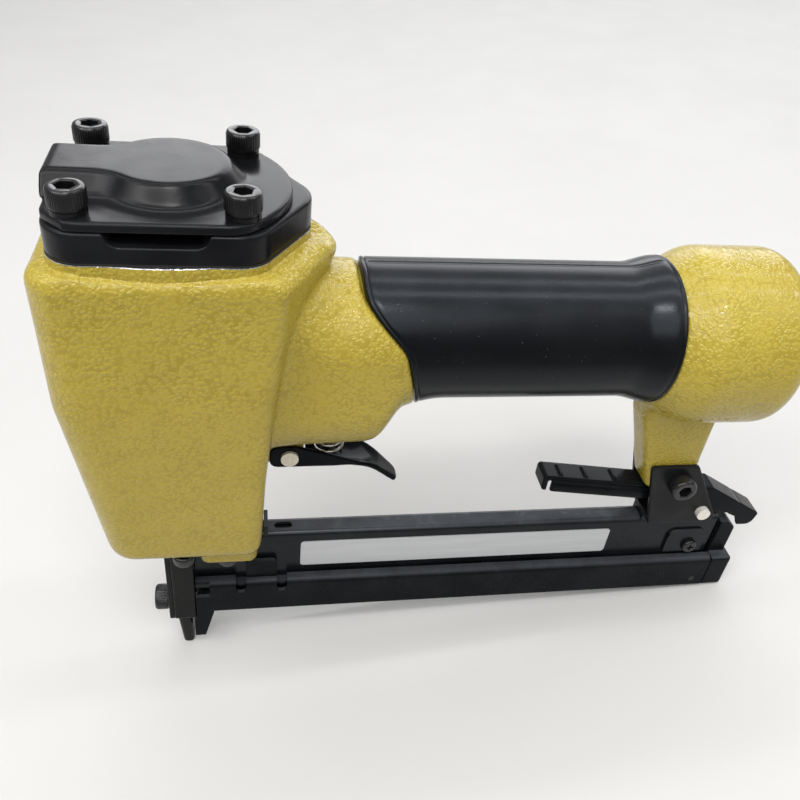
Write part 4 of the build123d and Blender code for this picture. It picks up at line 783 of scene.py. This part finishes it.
def lever_free(place):
    """Where the lever may soften: not at its eye, and little on its ribs."""
    x, y, z = place.T
    free = ramp(from_pin(place, LATCH_PIN), *LATCH_EYE)
    on_rib = (lever_depth(place) < RIB_BAND) & (np.abs(y) < RIB_HALF[1]) & (x < ARM_END)
    for rib in LEVER_RIBS:
        free[on_rib & (np.abs(x - rib) < RIB_HALF[0])] = RIB_SHARE
    return free


def lever_fold(mesh):
    """Arm's ribs raised and its flange rolled out below a groove; hook's underside drawn down."""
    place = points_of(mesh)
    x, y, z = place.T
    depth = lever_depth(place)
    raised = (depth < 0.0) & (np.abs(y) < RIB_HALF[1]) & (x < ARM_END)
    place[:, 2] += np.where(raised, -RIB_RAISE * depth, 0.0)
    along = ramp(x, *FLANGE_START) * (1.0 - ramp(x, *FLANGE_END))
    along = np.sqrt(along * (2.0 - along))
    groove_at, groove_half, groove_cut = GROOVE
    groove = np.exp(-((depth - groove_at) / groove_half) ** 2)
    roll_at, roll_half, roll_out = ROLL
    roll = np.sqrt(np.clip(1.0 - ((depth - roll_at) / roll_half) ** 2, 0.0, 1.0))
    outer = ramp(np.abs(y), *FLANGE_SIDE)
    place[:, 1] += np.sign(y) * outer * along * (roll_out * roll - groove_cut * groove)
    under = ramp(x, *HOOK_START) * (1.0 - ramp(x, *HOOK_END)) * (1.0 - ramp(z, *HOOK_UNDER))
    place[:, 2] -= HOOK_DROP * under
    put_points(mesh, place)


# Catch tab on the magazine's end cap
TAB_HEIGHT = (40.0, 48.0)
TAB_REAR = (193.2, 195.4)
TAB_LIFT = 2.3


def tab_raise(mesh):
    """Draws the catch tab's top up under the hook, before its nose."""
    place = points_of(mesh)
    lift = ramp(place[:, 2], *TAB_HEIGHT) * (1.0 - ramp(place[:, 0], *TAB_REAR))
    place[:, 2] += TAB_LIFT * lift
    put_points(mesh, place)


FOLDED_CREASE = 60  # degrees
softened("trigger_pressing", "trigger", voxel=0.22, rounds=7, free=trigger_free,
         angle=FOLDED_CREASE, detail=trigger_spoon)
softened("lever_pressing", "latch_lever", voxel=0.22, rounds=9, free=lever_free,
         angle=FOLDED_CREASE, detail=lever_fold)
softened("bracket_pressing", "latch_bracket", voxel=0.25, rounds=4)
softened("guide_casting", "driver_guide", voxel=0.3, rounds=4)
softened("cover_pressing", "nose_cover_plate", voxel=0.25, rounds=4)
softened("end_cap_casting", "magazine_end_cap", voxel=0.3, rounds=4, detail=tab_raise)

# Socket head screws: shank radius, head radius, head height and socket width across its flats
M5 = (2.5, 4.25, 5.0, 4.0)
M4 = (2.0, 3.5, 4.0, 3.0)
LARGE_HEAD_R = 4.0
RIBS_LARGE = 44
RIBS_SMALL = 36
STEPS_PER_RIB = 4
KNURL = 0.11
SOCKET_DEPTH = 0.5  # share of the head's height
SOCKET_POINT = 0.8  # drilled point below the socket
SCREW_TURN = 0.7  # radians from one screw's socket to the next one's
SCREW_CREASE = 38  # degrees


def screw_rows(sizes, shank, angle):
    """Rings from the shank's end over the head into the socket, as radii and a height."""
    radius, head_r, head_h, across = sizes
    steps = len(angle)
    flat = np.zeros(steps)
    knurl = KNURL * np.where(np.arange(steps) % STEPS_PER_RIB < STEPS_PER_RIB / 2, 1.0, 0.0)
    sector = math.pi / 3
    socket = (across / 2) / np.cos(np.mod(angle, sector) - sector / 2)
    return [
        (flat + radius, -shank),
        (flat + radius, 0.0),
        (flat + head_r - 0.35, 0.0),
        (flat + head_r - 0.12, 0.25),
        (flat + head_r - 0.12, 0.7),
        (knurl + head_r, 0.8),
        (knurl + head_r, head_h - 0.85),
        (flat + head_r, head_h - 0.7),
        (flat + head_r - 0.1, head_h - 0.35),
        (flat + head_r - 0.32, head_h - 0.1),
        (flat + head_r - 0.62, head_h),
        (socket + 0.22, head_h),
        (socket + 0.04, head_h - 0.12),
        (socket, head_h - 0.3),
        (socket, head_h - head_h * SOCKET_DEPTH),
    ]


def screw_mesh(name, seats, axis, sizes, shank):
    """Socket head screws with a knurled rim, cut socket and rounded edges."""
    head_r, head_h = sizes[1:3]
    steps = STEPS_PER_RIB * (RIBS_LARGE if head_r > LARGE_HEAD_R else RIBS_SMALL)
    angle = np.arange(steps) * 2 * math.pi / steps
    rows = screw_rows(sizes, shank, angle)
    to_axis = Vector((0, 0, 1)).rotation_difference(Vector(axis)).to_matrix().to_4x4()
    work = bmesh.new()
    for number, seat in enumerate(seats):
        turn = Matrix.Rotation(SCREW_TURN * number, 4, "Z")
        put = Matrix.Translation(Vector(seat) * MM) @ to_axis @ turn
        rings = []
        for ring, level in rows:
            rings.append([
                work.verts.new(put @ (Vector((r * math.cos(a), r * math.sin(a), level)) * MM))
                for r, a in zip(ring, angle)
            ])
        for low, high in zip(rings, rings[1:]):
            for i in range(steps):
                j = (i + 1) % steps
                work.faces.new((low[i], low[j], high[j], high[i]))
        work.faces.new(list(reversed(rings[0])))
        point_z = head_h - head_h * SOCKET_DEPTH - SOCKET_POINT
        tip = work.verts.new(put @ (Vector((0, 0, point_z)) * MM))
        for i in range(steps):
            work.faces.new((rings[-1][i], rings[-1][(i + 1) % steps], tip))
    mesh = bpy.data.meshes.new(name)
    work.to_mesh(mesh)
    work.free()
    shade(mesh, SCREW_CREASE)
    return mesh


def screws(name, node, axis, sizes, spots):
    """Cut screws in place of a node's plain ones; spots are two coordinates across the axis."""
    low, high = (np.array(v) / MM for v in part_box(node))
    along = max(range(3), key=lambda i: abs(axis[i]))
    head_h = sizes[2]
    if axis[along] > 0:
        seat = high[along] - head_h
        shank = seat - low[along]
    else:
        seat = low[along] + head_h
        shank = high[along] - seat
    seats = []
    for spot in spots:
        where = list(spot)
        where.insert(along, seat)
        seats.append(where)
    piece(name, screw_mesh(name, seats, axis, sizes, shank), node)


GUIDE_SCREWS = (-1.45, 10.2)  # place along the tool, and half the distance between the two
RAIL_SCREWS = (12.1, 8.8)


def pair(place):
    along, half = place
    return [(along, -half), (along, half)]


square = [(sx * BOLT_HALF, sy * BOLT_HALF) for sx in (-1, 1) for sy in (-1, 1)]
screws("cap_screws", "cap_bolts", (0, 0, 1), M5, square)
screws("nose_screw", "nose_bolt", (-1, 0, 0), M5, [NOSE_BOLT])
screws("bracket_screw", "bracket_bolt", (0, -1, 0), M5, [POST_BOLT])
screws("guide_screws_cut", "guide_screws", (0, 0, -1), M4, pair(GUIDE_SCREWS))
screws("rail_screws_cut", "rail_screws", (0, 0, -1), M4, pair(RAIL_SCREWS))

# Grip: heights are from the handle's axis
GRIP_STEPS = 480
GRIP_LENGTHS = 70
GRIP_BORE = CORE_R + 0.1
GRIP_SKIN = GRIP_BORE + 0.5  # what lies outside this is the grip's outer skin
GRIP_CREASE = 60  # degrees
SWEEP_Z = (-26.4, -12.0, 3.6, 10.0, 16.0, 26.0)  # front edge's knots, before they are smoothed
SWEEP_X = (68.35, 64.7, 60.9, 54.9, 49.6, 48.5)
SWEEP_STEPS = 400
SWEEP_SPAN = 40
SWEEP_SOFT = 1.9
REAR_EDGE = (138.8, 137.3)  # at the top and at the bottom of the swept heights
REAR_HALF = 26.4
FLARE = (126.5, 137.6)
FLARE_OUT = 2.1
LIP_LENGTH = 1.9
FRONT_LIP = ((0.0, -0.55), (0.12, -0.2), (0.45, 0.02), (0.85, 0.04), (1.15, -0.1), (1.35, -0.26),
             (1.55, -0.1), (LIP_LENGTH, 0.0))  # distance from the edge, and rise over the grip
REAR_LIP = ((LIP_LENGTH, 0.0), (1.55, -0.1), (1.35, -0.26), (1.15, -0.1), (0.8, 0.0), (0.4, -0.06),
            (0.12, -0.3), (0.0, -0.7))
SEAMS = (96, 264)  # degrees round the handle
SEAM_RIDGE = (0.10, 0.03, 0.02)  # rise, and its place and half width in radians
SEAM_CUT = (0.34, 0.011)  # depth, and half width in radians
CORNER_SIDE = (0.45, 0.95)  # downward part of the direction where the front corner flares
CORNER_LENGTH = 9.0


def front_edge(rise):
    """Place of the grip's swept front edge at each height."""
    fine = np.linspace(SWEEP_Z[0], SWEEP_Z[-1], SWEEP_STEPS)
    line = np.interp(fine, SWEEP_Z, SWEEP_X)
    reach = np.arange(-SWEEP_SPAN, SWEEP_SPAN + 1) * (fine[1] - fine[0])
    kernel = np.exp(-0.5 * (reach / SWEEP_SOFT) ** 2)
    padded = np.pad(line, SWEEP_SPAN, mode="reflect", reflect_type="odd")
    line = np.convolve(padded, kernel / kernel.sum(), mode="valid")
    return np.interp(rise, fine, line)


def rear_edge(rise):
    top, bottom = REAR_EDGE
    return top + (rise - REAR_HALF) * (top - bottom) / (2 * REAR_HALF)


def grip_radius(x):
    flare = ramp(x, *FLARE)
    return GRIP_R + FLARE_OUT * flare * flare * (3 - 2 * flare)


def mould_seam(theta):
    """Raised flash with a fine cut along it, above and below."""
    seam = np.zeros(len(theta))
    ridge_high, ridge_at, ridge_half = SEAM_RIDGE
    cut_deep, cut_half = SEAM_CUT
    for place in SEAMS:
        away = np.abs(np.angle(np.exp(1j * (theta - math.radians(place)))))
        seam += ridge_high * np.exp(-((away - ridge_at) / ridge_half) ** 2)
        seam -= cut_deep * np.exp(-(away / cut_half) ** 2)
    return seam


def grip_mesh():
    """Rubber sleeve with a swept front edge, lips at both ends, flared rear and a mould seam."""
    theta = np.arange(GRIP_STEPS) * 2 * math.pi / GRIP_STEPS
    rise = GRIP_R * np.sin(theta)
    start, end = front_edge(rise), rear_edge(rise)
    bore = np.full(GRIP_STEPS, GRIP_BORE)
    rows = [(start, bore)]
    for gap, lift in FRONT_LIP:
        rows.append((start + gap, np.full(GRIP_STEPS, GRIP_R + lift)))
    for share in np.linspace(0, 1, GRIP_LENGTHS + 2)[1:-1]:
        along = start + LIP_LENGTH + share * (end - LIP_LENGTH - start - LIP_LENGTH)
        rows.append((along, grip_radius(along)))
    for gap, lift in REAR_LIP:
        rows.append((end - gap, grip_radius(end - gap) + lift))
    rows.append((end, bore))
    seam = mould_seam(theta)
    low_side = ramp(-np.sin(theta), *CORNER_SIDE)
    work = bmesh.new()
    rings = []
    for number, (along, level) in enumerate(rows):
        on_side = len(FRONT_LIP) < number < len(rows) - len(REAR_LIP) - 1
        back = ramp(along - start, 0.0, CORNER_LENGTH)
        proud = on_side * seam
        proud = proud + HEEL_DROP * low_side * (1.0 - back) ** 2 * (level > GRIP_SKIN)
        ring = []
        for x, r, a in zip(along, level + proud, theta):
            spot = Vector((x, -r * math.cos(a), HANDLE_Z + r * math.sin(a)))
            ring.append(work.verts.new(spot * MM))
        rings.append(ring)
    rings.append(rings[0])
    for low, high in zip(rings, rings[1:]):
        for i in range(GRIP_STEPS):
            j = (i + 1) % GRIP_STEPS
            work.faces.new((low[i], high[i], high[j], low[j]))
    bmesh.ops.recalc_face_normals(work, faces=work.faces)
    mesh = bpy.data.meshes.new("grip")
    work.to_mesh(mesh)
    work.free()
    shade(mesh, GRIP_CREASE)
    return mesh


piece("grip", grip_mesh(), "grip_sleeve")

# Camera at the photograph's place, its directions in the row frame
CAMERA_PLACE = (19.3336, -193.0786, 257.4132)
CAMERA_RIGHT = Vector((0.98341, -0.1498788, 0.1021818))
CAMERA_DOWN = Vector((-0.011497, -0.6136723, -0.7894771))
CAMERA_FORWARD = Vector((0.181032, 0.7752049, -0.6052146))
camera = bpy.data.objects.new("camera", bpy.data.cameras.new("camera"))
scene.collection.objects.link(camera)
turned = Matrix((CAMERA_RIGHT, -CAMERA_DOWN, -CAMERA_FORWARD)).transposed().to_4x4()
camera.matrix_world = Matrix.Translation(Vector(CAMERA_PLACE) * MM) @ turned
camera.data.lens = 37.0
camera.data.sensor_width = 36.0
camera.data.clip_start = 0.01
camera.data.clip_end = 20.0
scene.camera = camera

# Pale floor under the nose tip and the rear end of the magazine, greyer towards the front as painted
# shade of light falling off
FLOOR_HALF = 2.5  # metres
NOSE_TIP = (-0.9, -0.02)  # nose tip's place on the floor, in millimetres
REAR_FOOT = (198.0, 20.9)  # magazine's rear lower edge
NEAR_EDGE = -0.10  # where it starts to turn grey, and where it is grey all over, in metres
GREY_FROM = -0.26
FLOOR_PALE = ((0.580, 0.575, 0.561), (0.596, 0.591, 0.577))
FLOOR_SHADE_GREY = (0.20, 0.197, 0.192)
floor_tilt = math.atan2(REAR_FOOT[1], REAR_FOOT[0] - NOSE_TIP[0])
floor_mesh = bpy.data.meshes.new("floor")
floor_corners = [(sx * FLOOR_HALF, sy * FLOOR_HALF, 0)
                 for sx, sy in ((-1, -1), (1, -1), (1, 1), (-1, 1))]
floor_mesh.from_pydata(floor_corners, [], [(0, 1, 2, 3)])
floor = bpy.data.objects.new("floor", floor_mesh)
scene.collection.objects.link(floor)
floor.matrix_world = (Matrix.Translation(Vector((NOSE_TIP[0], 0, NOSE_TIP[1])) * MM)
                      @ Matrix.Rotation(-floor_tilt, 4, "Y"))
paper = Finish("floor_paper", specular=0.2)
sheet = paper.mix(paper.spread(paper.noise(9.0, 4.0), 0.3, 0.7), *FLOOR_PALE)
# painted shade: the floor greys towards the front as if its light fell off
near = paper.spread(paper.part(paper.place, "Y"), GREY_FROM, NEAR_EDGE)
paper.colour(paper.mix(near, FLOOR_SHADE_GREY, sheet))
paper.rough(paper.spread(paper.noise(30.0), 0.3, 0.7, 0.6, 0.7))
floor_mesh.materials.append(paper.material)


def lamp(name, place, aim, size, power, colour):
    """Soft rectangular lamp, places in metres."""
    data = bpy.data.lights.new(name, "AREA")
    data.shape = "RECTANGLE"
    data.size, data.size_y = size
    data.energy = power
    data.color = colour
    made = bpy.data.objects.new(name, data)
    scene.collection.objects.link(made)
    made.location = place
    made.rotation_mode = "QUATERNION"
    made.rotation_quaternion = (Vector(aim) - Vector(place)).to_track_quat("-Z", "Y")


# Lamps overhead point straight down, the strips just under the ceiling; the others face the tool
COOL = (0.985, 0.99, 1.01)
WARM = (1.0, 0.97, 0.90)
KEY_WHITE = (1.0, 0.99, 0.97)
TOOL_MIDDLE = (0.085, 0.0, 0.09)
OVERHEAD = (
    ("ceiling", (0.1, -0.05, 1.4), (3.0, 1.7), 2.0, COOL),
    ("back_strip", (0.1, 0.52, 1.36), (3.0, 0.10), 6.8, COOL),
    ("top_strip", (0.1, -0.05, 1.36), (3.0, 0.10), 6.8, COOL),
    ("front_strip", (-0.75, -0.62, 1.36), (1.4, 0.10), 4.0, WARM),
)
AIMED = (
    ("window", (0.85, 3.0, 1.45), (3.4, 1.7), 52.0, COOL),
    ("front", (-0.45, -1.05, 1.3), (2.2, 1.1), 17.0, COOL),
    ("left", (-1.1, -0.5, 1.2), (0.8, 0.8), 3.2, COOL),
    ("right", (1.2, -0.5, 1.2), (0.8, 0.8), 2.2, COOL),
    ("key", (0.06, -0.55, 1.25), (0.28, 0.18), 3.4, KEY_WHITE),
)
for name, place, size, power, colour in OVERHEAD:
    lamp(name, place, (place[0], place[1], 0.0), size, power, colour)
for name, place, size, power, colour in AIMED:
    lamp(name, place, TOOL_MIDDLE, size, power, colour)

ROOM_LIGHT = 0.35
world = bpy.data.worlds.new("room")
scene.world = world
world.use_nodes = True
background = world.node_tree.nodes["Background"]
background.inputs["Color"].default_value = (*WHITE, 1.0)
background.inputs["Strength"].default_value = ROOM_LIGHT

scene.view_settings.view_transform = "Standard"
